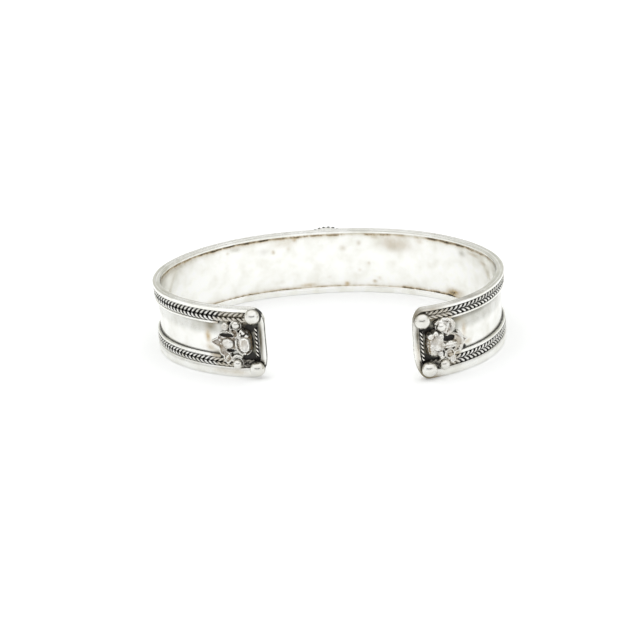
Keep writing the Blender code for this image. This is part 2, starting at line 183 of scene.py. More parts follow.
def joined(name, tubes):
    """Several capped tubes in one object, from (grid, shades) pairs."""
    points, faces, start = [], [], 0
    for grid, _ in tubes:
        rows, columns = grid.shape[:2]
        faces += (quads(rows, columns, False, True) + start).tolist()
        faces.append([start + k for k in range(columns)][::-1])
        faces.append([start + (rows - 1) * columns + k for k in range(columns)])
        points.append(grid.reshape(-1, 3))
        start += rows * columns
    shades = {label: np.concatenate([np.broadcast_to(part.get(label, 0.0), grid.shape[:2]).ravel()
                                     for grid, part in tubes]) for label in SHADES}
    return made_object(name, np.concatenate(points), faces, shades)


# %% Soft steps, unevenness and spots
def smooth_step(low, high, value):
    """3t^2 - 2t^3, with t going from 0 at low to 1 at high."""
    t = np.clip((value - low) / (high - low), 0, 1)
    return t * t * (3 - 2 * t)


def bell(value, middle, width):
    """exp(-((value - middle) / width)^2), which is 1 in the middle."""
    return np.exp(-((value - middle) / width) ** 2)


def wander(run, step, seed):
    """Slow hand-made unevenness: three sines of unrelated lengths, from -1 to 1."""
    phase = np.random.default_rng(seed).uniform(0, 2 * math.pi, 3)
    waves = [np.sin(run / (step * k) + p) for k, p in zip((1.0, 0.43, 0.19), phase)]
    return (waves[0] + 0.6 * waves[1] + 0.35 * waves[2]) / 1.95


# A spot is a soft oval in mm. Its place is from an end, or from the front's middle. Its last strength
# is the grey-green, which is tarnish in some spots and painted shading in others.
Spot = namedtuple("Spot", "side place height long wide black stain haze")


def spotted(run, height, spots):
    """The three shades as sums of ovals, each its strength times exp(-(x/a)^2 - (y/b)^2)."""
    total = {label: np.zeros(np.broadcast_shapes(run.shape, height.shape)) for label in SHADES}
    for row in spots:
        spot = Spot(*row)
        soft = bell(run, run_at(spot.side, spot.place), spot.long * MM)
        soft = soft * bell(height, spot.height * MM, spot.wide * MM)
        for label in SHADES:
            total[label] += getattr(spot, label) * soft
    return total


# %% [markdown]
# ## The frame wire
#
# The frame is one flat wire, bent round the strip's outline and soldered shut. It is wider along its
# foot and where it closes the ends. Its corners were filed by hand, so each is its own quarter
# ellipse. The section is carried round the outline in the flat, so that its width stays true, and
# then bent with the rest. Its worn edges are the brightest lines of the whole cuff, so the section
# spends its points there. A fine groove along its outer side shows where it was drawn.

# %% The outline
FRAME_WIDTH = 0.8 * MM
END_FRAME_WIDTH = 1.15 * MM
LOWER_FRAME_WIDTH = 1.5 * MM
SHEET_RECESS = 0.7 * MM
SHEET_THICKNESS = 0.5 * MM
INNER_LIP = 0.15 * MM
FRAME_THICKNESS = SHEET_RECESS + SHEET_THICKNESS + INNER_LIP
FRAME_STEP = 0.5 * MM
CORNER_STEPS = 16

# Each corner's reach along the band and up it, in mm
CORNERS = (("right", "lower", 2.5, 4.96), ("right", "upper", 2.0, 3.72),
           ("left", "upper", 2.63, 2.6), ("left", "lower", 2.75, 4.22))


def corner_middle(side, level, reach, rise):
    """The run and the height that a corner's quarter ellipse is drawn about."""
    return run_at(side, reach), rise * MM if level == "lower" else BAND_HEIGHT - rise * MM


def outline():
    """Once round the strip: rows of run, height, inward run and inward height."""
    parts = []
    for number, corner in enumerate(CORNERS):
        reach, rise = corner[2] * MM, corner[3] * MM
        angle = np.radians(90 * (number - 1) + np.linspace(0, 90, CORNER_STEPS))
        along, up = np.cos(angle), np.sin(angle)
        slope = np.hypot(along * rise, up * reach)
        middle = corner_middle(*corner)
        parts.append(np.stack([middle[0] + reach * along, middle[1] + rise * up,
                               -along * rise / slope, -up * reach / slope], axis=-1))
        following = corner_middle(*CORNERS[(number + 1) % 4])
        last = parts[-1][-1]
        span = abs(following[0] - last[0]) if number % 2 else abs(following[1] - last[1])
        share = np.linspace(0, 1, int(span / FRAME_STEP) + 2)[1:-1, None]
        finish = np.array([following[0], last[1]] if number % 2 else [last[0], following[1]])
        line = last[:2] + share * (finish - last[:2])
        parts.append(np.concatenate([line, np.broadcast_to(last[2:], line.shape)], axis=-1))
    return np.concatenate(parts)


path = outline()
print("outline points:", len(path))

# %% Painted shade round the corner balls
# The corner balls' diameter, then each ball's side, its middle's distance from the end and its height
# over the band's middle, all in mm. Their order is left upper, left lower, right upper, right lower.
CORNER_BALL = 2.65
CORNER_BALLS = (("left", 1.92, 4.85), ("left", 1.74, -4.45), ("right", 1.65, 4.11), ("right", 2.39, -4.37))
# How dark the painted shade is round each of them
BALL_PAINTED_SHADE = (0.75, 0.55, 0.08, 0.2)


def ball_painted_shade(run, height):
    """A ring of painted shade about each corner ball, which has gone a quarter of a millimetre away from it.

    On the left it lies on the end's side alone."""
    total = 0.0
    for (side, from_end, off), strength in zip(CORNER_BALLS, BALL_PAINTED_SHADE):
        along, across = run - run_at(side, from_end), height - MIDDLE - off * MM
        far = np.hypot(along, across) / MM
        facing = smooth_step(0.1, 0.6, -along / MM / np.maximum(far, 0.1)) if side == "left" else 1.0
        ring = smooth_step(CORNER_BALL / 2 + 0.28, CORNER_BALL / 2 + 0.02, far)
        total = np.maximum(total, strength * facing * ring)
    return total


# %% The frame wire
FRAME_ROUND = 0.2 * MM
GROOVE_DEPTH = 0.05 * MM
GROOVE_OUT = -0.62 * MM
GROOVE_LINES = (-0.07 * MM, -0.02 * MM, 0.02 * MM, 0.07 * MM)
FACE_POINTS = 9
# By how much the foot widens toward the left, and the top narrows toward the right
FOOT_SPREAD = 0.2 * MM
TOP_TAPER = 0.17 * MM
# On the cuff's inside the foot is narrower, below this depth
FOOT_SETBACK = 0.4 * MM
SETBACK_DEPTH = 0.9 * MM
# The wire slopes down inwards at the two ends, and its face is a little worn all round
END_SLOPE = 0.3 * MM
FRAME_WEAR = 0.012 * MM
# Whatever is less deep than this belongs to the wire's flat outer face
FACE_DEPTH = 0.3 * MM


def rounded_section(width, thickness, radius, steps):
    """A rounded rectangle as (inward, out): each corner is its centre plus r(cos a, sin a)."""
    corners = ((radius, -radius, 180, 90), (width - radius, -radius, 90, 0),
               (width - radius, radius - thickness, 0, -90), (radius, radius - thickness, -90, -180))
    section = []
    for x, y, start, stop in corners:
        angle = np.radians(np.linspace(start, stop, steps))
        section.append(np.stack([x + radius * np.cos(angle), y + radius * np.sin(angle)], axis=-1))
    return section


corners = rounded_section(FRAME_WIDTH, FRAME_THICKNESS, FRAME_ROUND, 5)
face = np.linspace(FRAME_ROUND, FRAME_WIDTH - FRAME_ROUND, FACE_POINTS + 2)[1:-1]
groove = np.array([[0.0, GROOVE_OUT + d] for d in GROOVE_LINES])
groove[1:3, 0] = GROOVE_DEPTH
section = np.concatenate([groove, corners[0], np.stack([face, 0 * face], axis=-1), *corners[1:]])

along, up = path[:, 2:3], path[:, 3:4]
at_foot, at_top = np.clip(up, 0, 1), np.clip(-up, 0, 1)
toward_left = smooth_step(RIGHT_END, LEFT_END, path[:, :1])
extra = (END_FRAME_WIDTH - FRAME_WIDTH) * along**2
extra += (LOWER_FRAME_WIDTH - FRAME_WIDTH + FOOT_SPREAD * toward_left) * at_foot**2
extra -= TOP_TAPER * (1 - toward_left) * at_top**2
across = np.clip((section[:, 0] - FRAME_ROUND) / (FRAME_WIDTH - 2 * FRAME_ROUND), 0, 1)[None, :]
inward = section[:, 0] + extra * across
inward -= FOOT_SETBACK * across * at_foot**2 * (section[:, 1] < -SETBACK_DEPTH)
run = path[:, :1] + inward * along
height = path[:, 1:2] + inward * up
out = np.broadcast_to(section[:, 1], run.shape)
on_face = out > -FACE_DEPTH
worn = FRAME_WEAR * (wander(path[:, :1] + path[:, 1:2], 2.3 * MM, 3) - 1)
sloped = -END_SLOPE * along**2 * across**2
frame_grid = on_band(run, height, out + (worn + sloped) * on_face)
print("frame section points:", len(section))

# %% Dirt, painted shade and painted reflections on the frame wire
# The last strength in each row is the grey-green. Some spots are painted light: the greyed bands down both
# end faces are painted reflections of the balls and the twisted wires, and the spots at the right foot's
# corner and along its lower edge are painted shade.
FRAME_SPOTS = (  # side, place, height, half length, half width in mm, then black, stain and haze
    ("right", 0.9, 1.2, 1.3, 1.6, 0.06, 0.25, 0.8),
    ("right", 3.0, 0.4, 1.6, 0.7, 0.0, 0.3, 0.6),
    ("right", 2.4, 0.05, 2.0, 0.2, 0.4, 0.3, 0.7),
    ("right", 0.8, 11.2, 1.3, 1.3, 0.05, 0.25, 0.7),
    ("right", 3.6, 12.0, 1.9, 0.4, 0.05, 0.3, 0.5),
    ("right", 0.85, 7.7, 0.55, 1.7, 0.15, 0.1, 1.0),
    ("right", 0.8, 4.6, 0.5, 1.6, 0.0, 0.35, 0.1),
    ("left", 0.95, 7.8, 0.5, 2.4, 0.15, 0.1, 0.95),
    ("left", 1.0, 4.6, 0.4, 2.2, 0.15, 0.1, 0.7),
    ("left", 1.3, 1.9, 0.7, 0.9, 0.45, 0.3, 0.8),
    ("left", 5.2, 0.9, 1.6, 0.5, 0.0, 0.35, 0.1),
    ("left", 8.5, 0.9, 2.0, 0.5, 0.0, 0.25, 0.15),
    ("right", 10.5, 12.5, 3.2, 0.2, 0.0, 0.1, 0.6),
)
shades = spotted(run, height, FRAME_SPOTS)
# Painted shade, with some oxide: the inner wall beside the ropes is painted black
inner_wall = smooth_step(0.75, 1.0, across) * smooth_step(-0.12, -0.4, out / MM) * (out > -0.85 * MM)
in_groove = (inward > 0.5 * GROOVE_DEPTH) * (inward < 2 * GROOVE_DEPTH)
in_groove = in_groove * (np.arange(len(section)) < len(groove))
end_line = along**4 * bell(inward / MM, 0.04, 0.07) * on_face * np.where(run < 0, 0.9, 0.5)
# A ring of painted shade round each corner ball, in black and grey-green
painted_ball_ring = ball_painted_shade(run, height)
shades["black"] += np.maximum(0.9 * inner_wall, 0.45 * in_groove) + end_line + painted_ball_ring
shades["haze"] += 1.6 * painted_ball_ring
# Painted shade greys the foot's face a little and more along both its edges, beside the ropes and by
# the table, and the top is greyed on its outer side and along its outer edge
foot_painted_shade = 0.02 + 0.35 * bell(inward / MM, 1.4, 0.22) + 0.15 * bell(inward / MM, 0.1, 0.35)
shades["haze"] += at_foot * on_face * foot_painted_shade
shades["haze"] += 0.22 * at_top * smooth_step(-0.2, -0.4, out / MM) * (across < 0.2)
shades["haze"] += 0.35 * at_top * bell(inward / MM, 0.06, 0.1) * on_face
frame_wire = skin("frame_wire", frame_grid, shades, wrap_rows=True)

# %% [markdown]
# ## The sheet
#
# The sheet lies lower than the frame on its outside, and a little lower on its inside too. Hand work
# leaves it very slightly wavy, which is what breaks up its reflections. Its columns are spread by how
# far they lie between its two edges, so that they follow the filed corners, and they stand closer
# together near the wires, where the tarnish and the solder stains begin.

# %% The sheet
SHEET_OUT = -SHEET_RECESS
SHEET_STEP = 0.25 * MM
SHEET_COLUMNS = 61
# A power over 1 crowds the columns toward the two edges
SHEET_CROWDING = 1.3
SHEET_INSET = FRAME_WIDTH / 2
WAVE = 0.014 * MM


def sheet_edge(side, level, from_end):
    """How far the sheet's edge, let into the wire, lies from the band's edge.

    Near a corner it follows a quarter ellipse: rise - (rise - inset) sqrt(1 - short^2)."""
    reach, rise = next((c[2] * MM, c[3] * MM) for c in CORNERS if c[:2] == (side, level))
    short = np.clip((reach - from_end) / (reach - SHEET_INSET), 0, 1)
    return rise - (rise - SHEET_INSET) * np.sqrt(1 - short**2)


sheet_rows = int((RIGHT_END - LEFT_END) / SHEET_STEP)
runs = np.linspace(LEFT_END + SHEET_INSET, RIGHT_END - SHEET_INSET, sheet_rows)[:, None]
low_edge = np.where(runs > 0, sheet_edge("right", "lower", RIGHT_END - runs),
                    sheet_edge("left", "lower", runs - LEFT_END))
high_edge = BAND_HEIGHT - np.where(runs > 0, sheet_edge("right", "upper", RIGHT_END - runs),
                                   sheet_edge("left", "upper", runs - LEFT_END))
share = np.linspace(-1, 1, SHEET_COLUMNS)
share = np.sign(share) * (1 - (1 - np.abs(share)) ** SHEET_CROWDING)
heights = (low_edge + high_edge) / 2 + (high_edge - low_edge) / 2 * share[None, :]
full_runs = np.broadcast_to(runs, heights.shape)
waves = WAVE * wander(runs, 5.1 * MM, 11) * np.sin(heights / (4.2 * MM) + runs / (9 * MM))
print("sheet grid:", heights.shape)

# %% [markdown]
# ## Stains and painted shade on the sheet
#
# Heat, solder and handling leave marks. On the inside there is a crusty brown line where the sheet
# meets the frame, with tan patches and small brown spots. On the outside the sheet is painted grey-green
# along each inner wire, darkest in the groove beside it, as painted shade, and it greys toward its top
# as a painted reflection of the dim wall; round the ornaments it is darkened. They are charted as short
# lists, each mark with its place, its size and its strengths, and the finish later breaks up their edges.

# %% Marks on the inside
INNER_SPOTS = (  # side, place, height, half length, half height in mm, then black, stain and haze
    ("front", -18.0, 10.65, 1.2, 0.45, 0.05, 0.15, 0.3),
    ("front", -19.8, 10.25, 0.35, 0.3, 0.0, 0.3, 0.1),
    ("front", -12.3, 9.3, 0.9, 0.7, 0.0, 0.1, 0.18),
    ("front", -10.4, 8.95, 0.3, 0.4, 0.35, 0.6, 0.2),
    ("front", -8.0, 10.4, 2.2, 0.8, 0.0, 0.25, 0.05),
    ("front", -6.1, 11.0, 0.4, 0.45, 0.15, 0.55, 0.2),
    ("front", -7.4, 9.35, 0.4, 0.4, 0.0, 0.25, 0.05),
    ("front", 3.2, 8.8, 0.7, 0.5, 0.0, 0.3, 0.1),
    ("front", 6.4, 9.75, 0.45, 0.5, 0.05, 0.35, 0.15),
    ("front", 8.2, 5.8, 0.3, 0.3, 0.0, 0.35, 0.1),
    ("front", 6.3, 4.4, 0.3, 0.3, 0.0, 0.25, 0.05),
    ("front", 9.2, 2.2, 0.4, 0.3, 0.3, 0.7, 0.2),
    ("front", 10.2, 2.85, 0.4, 0.35, 0.0, 0.3, 0.0),
    ("front", 3.6, 1.7, 0.5, 0.45, 0.1, 0.9, 0.0),
    ("front", -4.0, 1.8, 1.4, 0.35, 0.0, 0.7, 0.0),
    ("front", -9.0, 2.8, 0.6, 0.4, 0.0, 0.15, 0.05),
    ("front", 0.2, 3.15, 0.4, 0.3, 0.0, 0.15, 0.05),
    ("front", 26.9, 1.9, 1.3, 0.45, 0.55, 1.0, 0.3),
    ("front", 27.8, 2.3, 2.0, 0.6, 0.0, 0.5, 0.15),
    ("front", 29.9, 10.05, 1.0, 0.5, 0.0, 0.1, 0.35),
    ("front", 12.4, 9.9, 1.8, 1.3, 0.0, 0.36, 0.2),
    ("front", 15.2, 9.7, 2.2, 1.3, 0.0, 0.34, 0.16),
    ("front", 13.6, 8.8, 1.6, 0.7, 0.0, 0.1, 0.1),
    ("front", 19.3, 10.65, 0.8, 0.5, 0.0, 0.3, 0.05),
    ("front", 9.6, 11.0, 0.8, 0.4, 0.0, 0.3, 0.05),
    ("front", 33.8, 10.6, 1.9, 0.28, 0.0, 0.5, 0.1),
    ("front", 37.0, 9.8, 1.4, 0.35, 0.0, 0.45, 0.1),
    ("front", 39.1, 8.4, 0.8, 0.8, 0.0, 0.35, 0.05),
    ("front", -50.0, 10.6, 9.0, 1.0, 0.0, 0.25, 0.3),
    ("front", -36.0, 11.0, 9.0, 0.6, 0.0, 0.2, 0.2),
)
# The solder seams' heights, the half widths of a seam and of the stain beside it, all in mm, and how
# far the crust on a seam stands out
TOP_SEAM_HEIGHT = 11.5
FOOT_SEAM_HEIGHT = 1.25
SEAM_HALF = 0.22
HALO_HALF = 0.55
CRUST = 0.05 * MM
# How dark the seam is along the top and along the foot, as (run in mm, strength)
TOP_SEAM = ((-60, 0.5), (-26, 0.7), (-25, 0.95), (-11, 0.9), (-10, 0.75), (3, 0.65), (4, 0.3), (7, 0.3),
            (8, 0.6), (15, 0.55), (16, 0.35), (20, 0.35), (21, 0.95), (31, 0.95), (32, 0.7), (60, 0.5))
FOOT_SEAM = ((-60, 0.4), (-27, 0.75), (-6, 0.75), (-5, 0.35), (-2, 0.55), (2, 0.55), (4, 0.35), (14, 0.4),
             (15, 0.8), (27, 1.0), (28, 0.5), (60, 0.4))


def seam(run, height, level, chart, seed):
    """A line's strength: charted along the run, broken up finely, and a bell across its height."""
    strength = np.interp(run / MM, *zip(*chart)) * (0.8 + 0.3 * wander(run, 0.55 * MM, seed))
    drift = level + 0.1 * wander(run, 1.3 * MM, seed + 1)
    return strength * bell(height / MM, drift, SEAM_HALF), strength * bell(height / MM, drift, HALO_HALF)


inside = spotted(full_runs, heights, INNER_SPOTS)
top_line, top_halo = seam(full_runs, heights, TOP_SEAM_HEIGHT, TOP_SEAM, 5)
foot_line, foot_halo = seam(full_runs, heights, FOOT_SEAM_HEIGHT, FOOT_SEAM, 7)
inside["black"] += 0.85 * (top_line + foot_line)
inside["stain"] += 1.1 * (top_line + foot_line) + 0.45 * (top_halo + foot_halo)
inside["haze"] += 0.5 * (top_line + foot_line) + 0.25 * (top_halo + foot_halo)
crust = CRUST * (top_line + foot_line)
print("marks on the inside:", len(INNER_SPOTS))

# %% Marks on the outside
OUTER_SPOTS = (  # side, place, height, half length, half height in mm, then black, stain and haze
    ("left", 2.7, 8.7, 1.0, 0.8, 0.95, 0.0, 0.2),
    ("left", 2.8, 3.2, 1.1, 1.3, 0.95, 0.0, 0.2),
    ("left", 4.1, 2.9, 0.9, 1.0, 0.9, 0.0, 0.2),
    ("left", 2.6, 6.0, 0.8, 2.2, 0.25, 0.0, 0.9),
    ("left", 4.0, 9.0, 1.1, 0.9, 0.3, 0.3, 0.6),
    ("left", 10.4, 8.7, 1.3, 0.8, 0.08, 0.2, 0.45),
    ("left", 11.2, 6.6, 0.55, 1.1, 0.0, 0.95, 0.0),
    ("left", 10.9, 4.6, 0.9, 0.5, 0.0, 0.45, 0.2),
    ("left", 9.3, 3.9, 1.0, 0.5, 0.2, 0.1, 0.6),
    ("right", 2.6, 8.4, 1.0, 0.8, 0.95, 0.0, 0.2),
    ("right", 2.6, 3.6, 1.0, 0.9, 0.7, 0.1, 0.4),
    ("right", 2.1, 6.0, 0.6, 2.4, 0.35, 0.0, 0.9),
    ("right", 4.2, 2.6, 0.5, 0.8, 0.9, 0.0, 0.2),
    ("right", 9.75, 4.05, 0.5, 0.45, 1.0, 0.0, 0.3),
    ("right", 7.3, 9.5, 1.0, 0.25, 0.7, 0.0, 0.3),
    ("right", 7.0, 2.7, 1.1, 0.5, 0.2, 0.3, 0.7),
    ("right", 8.8, 9.0, 1.0, 0.45, 0.0, 0.3, 0.25),
    ("right", 9.9, 7.0, 0.5, 1.2, 0.0, 0.55, 0.05),
    ("right", 10.6, 4.7, 0.8, 0.35, 0.0, 0.5, 0.1),
)
outside = spotted(full_runs, heights, OUTER_SPOTS)
from_end = np.minimum(full_runs - LEFT_END, RIGHT_END - full_runs) / MM
z = heights / MM
# Painted reflection: the sheet greys in steps toward the top, where it would mirror the dim wall, and
# less away from the ends, and a line of painted shade lies above the foot
painted_shading_and_film = 0.33 * smooth_step(6.5, 7.9, z) + 0.3 * smooth_step(8.7, 9.35, z)
painted_shading_and_film *= 1 - 0.3 * smooth_step(15, 24, from_end)
painted_shading_and_film += 0.45 * bell(z, 3.82, 0.14)
# A painted shadow under the upper inner wire, grey-green and a little black
beside_wire = bell(z, np.interp(full_runs, (LEFT_END, RIGHT_END), (9.28, 9.66)), 0.13)
near_end = smooth_step(9.0, 7.8, from_end)
under_ropes = smooth_step(9.75, 9.95, z) + smooth_step(3.55, 3.3, z)
outside["black"] += 0.8 * under_ropes * (1 - 0.55 * near_end) + 0.4 * smooth_step(2.2, 1.4, from_end)
outside["black"] += 0.22 * beside_wire
outside["haze"] += 0.06 + painted_shading_and_film * (1 - 0.5 * near_end) + 0.5 * near_end
outside["haze"] += 0.3 * beside_wire
outside["stain"] += 0.3 * under_ropes * near_end

# %% Both sides of the sheet as one skin
outer_side = on_band(full_runs, heights, SHEET_OUT + waves)
inner_out = SHEET_OUT - SHEET_THICKNESS + (1.4 * waves - crust)
inner_side = on_band(full_runs, heights[:, ::-1], inner_out[:, ::-1])
sheet_grid = np.concatenate([outer_side, inner_side], axis=1)
shades = {label: np.concatenate([outside[label], inside[label][:, ::-1]], axis=1) for label in SHADES}
band_sheet = skin("band_sheet", sheet_grid, shades)

# %% [markdown]
# ## The braids
#
# Each braid is two ropes side by side, and each rope is two fine round wires twisted together. The
# two ropes are twisted opposite ways, so that their strands meet in a herringbone. A strand is a
# round section carried along a helix, and at each point the section stands square to the helix.
# Between the strands the silver was blackened and never polished again, so the black there depends
# on how close a point lies to the rope's axis. Only the outermost third of each strand is bright.

# %% Where the ropes lie
ROPE_BELOW = 0.02 * MM
ROPE_LEAD = 1.9 * MM
# The ropes stop this far from each end, under the corner balls
ROPE_STOP = 2.4 * MM
STATIONS_A_TURN = 12
STRAND_SIDES = 10
# The black begins at the first share of a rope's radius, going inwards, and is full at the second
CREVICE = (0.93, 0.66)

# Each line's distance from the band's edge in mm at the left end and at the right one. The ropes
# were laid by hand, so their lines drift from one end to the other.
LINES = {
    "upper": {"frame": (0.82, 0.66), "meeting": (1.74, 1.44), "wire": (2.66, 2.2)},
    "lower": {"frame": (1.7, 1.5), "meeting": (2.4, 2.36), "wire": (3.16, 3.14)},
}
# How far from each end, in mm, solder has flooded the outer rope and the inner one, and over what half
# length it fades
FLOOD_FADE = 0.7
FLOODED = {
    ("left", "upper"): (8.2, 9.3), ("left", "lower"): (9.6, 10.4),
    ("right", "upper"): (6.6, 7.3), ("right", "lower"): (8.0, 8.4),
}
# How black the silver is painted where the two ropes meet, at the left end and at the right one
MEETING = {"upper": (0.6, 0.55), "lower": (0.1, 0.45)}
# The same on each rope's other side, for the outer rope and then for the inner one
BESIDE = {"upper": ((0.0, 0.4), (0.0, 0.5)), "lower": ((0.0, 0.0), (0.6, 0.45))}
# How much of the black was polished off again, toward the left end, and how much of it is filled in
# where solder has flooded a rope
WORN = {"upper": 0.0, "lower": 0.2}
FLOOD_FILLS = 0.62


def line(level, name, run):
    """A line's distance from the band's edge, going over smoothly from the left to the right."""
    left, right = LINES[level][name]
    return (left + (right - left) * smooth_step(LEFT_END, RIGHT_END, run)) * MM


def flooding(level, run, rope):
    """How far solder has filled a rope, from 1 at a terminal to 0 along the band."""
    left, right = FLOODED["left", level][rope], FLOODED["right", level][rope]
    return np.maximum(smooth_step(left + FLOOD_FADE, left - FLOOD_FADE, (run - LEFT_END) / MM),
                      smooth_step(right + FLOOD_FADE, right - FLOOD_FADE, (RIGHT_END - run) / MM))


def strand(start, stop, centre, out, diameter, lead, phase):
    """A wire round a helix: centre c + a(cos p, sin p), p = 2 pi s / lead, and a section square to it.

    The radius a is a quarter of the rope's diameter, and so is the wire's own. The centre and the
    diameter may change along s. Returns the flat places and each point's distance from the rope's
    axis as a share of the rope's radius."""
    rate = 2 * math.pi / lead
    s = np.linspace(start, stop, max(4, int(abs((stop - start) / lead) * STATIONS_A_TURN)))[:, None]
    radius = diameter(s) / 4
    p = rate * s + phase
    around = np.linspace(0, 2 * math.pi, STRAND_SIDES, endpoint=False)[None, :]
    steep = radius * rate
    slope = np.hypot(1.0, steep)
    radial, sideways = radius * np.cos(around), radius * np.sin(around)
    run = s - sideways * steep / slope
    up = (radius + radial) * np.cos(p) - sideways * np.sin(p) / slope
    lift = (radius + radial) * np.sin(p) + sideways * np.cos(p) / slope
    return run, centre(s) + up, out(s) + lift, np.hypot(up, lift) / (2 * radius)


rope_length = RIGHT_END - LEFT_END - 2 * ROPE_STOP
print("turns in a rope:", round(rope_length / ROPE_LEAD, 1))

# %% Twisted ropes
def rope(level, number, twist, phase):
    """One rope along the whole band as two strands, each a grid with its shades."""
    names = ("frame", "meeting", "wire")[number:number + 2]
    sign = 1 if level == "upper" else -1
    edge = BAND_HEIGHT if level == "upper" else 0.0

    def diameter(s):
        return line(level, names[1], s) - line(level, names[0], s)

    def centre(s):
        return edge - sign * (line(level, names[0], s) + line(level, names[1], s)) / 2

    def out(s):
        return -ROPE_BELOW - diameter(s) / 2

    ends = (LEFT_END, RIGHT_END)
    tubes = []
    for turn in (0.0, math.pi):
        run, height, lift, depth = strand(LEFT_END + ROPE_STOP, RIGHT_END - ROPE_STOP, centre, out, diameter,
                                          twist * ROPE_LEAD, phase + turn)
        flood = flooding(level, run, number)
        crevice = smooth_step(*CREVICE, depth)
        low = smooth_step(0.1, -0.3, (lift - out(run)) / (diameter(run) / 2))
        inner = sign * (centre(run) - height) / (diameter(run) / 2) * (1 if number == 0 else -1)
        meeting = np.interp(run, ends, MEETING[level]) * smooth_step(0.35, 0.85, inner)
        beside = np.interp(run, ends, BESIDE[level][number]) * smooth_step(0.35, 0.85, -inner)
        worn = 1 - WORN[level] * smooth_step(RIGHT_END, LEFT_END, run)
        dark = np.maximum(np.maximum(crevice, low), np.maximum(meeting, beside))
        # Near the ends, under the corner balls, the lower ropes are half black all over
        from_end = np.minimum(run - LEFT_END, RIGHT_END - run) / MM
        corner = 0.55 * smooth_step(5.0, 4.2, from_end) * (level == "lower")
        tubes.append((on_band(run, height, lift), {
            "black": np.maximum(dark * worn * (1 - FLOOD_FILLS * flood), corner),
            "stain": 0.25 * flood, "haze": 0.12 + 0.2 * flood + 0.12 * (number == 0)}))
    return tubes


def braid(level):
    """Two ropes twisted opposite ways, the outer one leaning one way and the inner one the other."""
    sign = 1 if level == "upper" else -1
    return joined(f"braid_{level}", rope(level, 0, sign, 0.0) + rope(level, 1, -sign, 0.6))


braids = [braid(level) for level in ("upper", "lower")]

# %% [markdown]
# ## The inner wires
#
# A plain thin wire runs along the inner side of each braid and ends under the ornaments. Its top is
# worn bright, and its sides stand in the dark.

# %% The inner wires
INNER_WIRE_RISE = 0.58 * MM
INNER_WIRE_ROUND = 0.16 * MM
INNER_WIRE_STATIONS = 340
# The wires' widths, and in mm how far from each end they stop
INNER_WIRES = {"upper": 0.4 * MM, "lower": 0.52 * MM}
WIRE_STOPS = {"left": 8.6, "right": 6.2}
# Each wire's gap from the rope beside it, and how far it wanders off its line
WIRE_GAP = 0.02 * MM
WIRE_WANDER = 0.02 * MM


def inner_wire(level):
    """A rounded section carried along the band, with a slow wander in its height."""
    width = INNER_WIRES[level]
    thickness = INNER_WIRE_RISE + SHEET_THICKNESS / 2
    section = np.concatenate(rounded_section(width, thickness, INNER_WIRE_ROUND, 5))
    start, stop = (run_at(side, WIRE_STOPS[side]) for side in ("left", "right"))
    run = np.linspace(start, stop, INNER_WIRE_STATIONS)[:, None]
    from_edge = line(level, "wire", run) + WIRE_GAP + section[None, :, 0]
    from_edge = from_edge + WIRE_WANDER * wander(run, 3 * MM, 7)
    height = BAND_HEIGHT - from_edge if level == "upper" else from_edge
    out = SHEET_OUT + INNER_WIRE_RISE + section[None, :, 1]
    # The wire's lower sides are painted black, as shade
    low = smooth_step(-0.1, -0.26, (out - SHEET_OUT - INNER_WIRE_RISE) / MM)
    fade = flooding(level, run, 1)
    return skin(f"inner_wire_{level}", on_band(run, height, out),
                {"black": 0.95 * low, "stain": 0.4 * fade, "haze": 0.05 + 0.5 * fade})


inner_wires = [inner_wire(level) for level in ("upper", "lower")]

# %% [markdown]
# ## The struck ornaments
#
# Each end carries an ornament that was struck in a die: a scalloped plate, a domed tongue between two
# pierced slots, petals, cups for the small balls, and a rough boss with a raised arc round it. Such
# relief is a height over a flat place, so it is worked out as one. Every form is a height field of
# its own, and the highest one wins at each point. The two ornaments were struck and trimmed by hand,
# so each has its own short list of forms.

# %% The lists of forms
# Heights over the sheet in mm: the plate, the lip round it, and the foot, which is let into the sheet
PLATE_RISE = 0.4
PLATE_LIP = 0.3
FOOT = -0.25

# Each plate is a union of ovals: from_end, off_middle, half length and half width in mm, and the power
# of its outline, which is 2 for an ellipse and nearer 1 for a pointed leaf
PLATES = {
    "left": ((3.75, 0.05, 1.45, 2.35, 2.4), (7.1, -0.1, 2.05, 2.1, 2), (8.9, -0.3, 1.7, 0.85, 1.15),
             (7.8, -1.6, 1.0, 1.1, 2), (7.15, -2.85, 0.85, 1.15, 2), (5.2, -3.6, 1.05, 1.0, 2),
             (5.7, 1.6, 0.95, 1.0, 2),
             (4.95, 3.1, 0.95, 0.95, 2), (6.6, 2.4, 0.6, 0.9, 2), (7.1, 2.8, 0.75, 0.85, 2)),
    "right": ((3.9, -0.2, 1.5, 2.45, 2.4), (6.9, -0.8, 2.0, 1.9, 2), (8.5, -0.7, 1.75, 1.0, 1.15),
              (6.2, 2.3, 1.25, 1.35, 2), (4.85, 2.6, 1.05, 1.3, 2), (7.9, -1.7, 0.8, 0.85, 2),
              (6.5, -2.5, 0.95, 0.95, 2), (6.9, -3.5, 0.65, 0.8, 2), (5.1, -4.0, 1.05, 1.05, 2)),
}

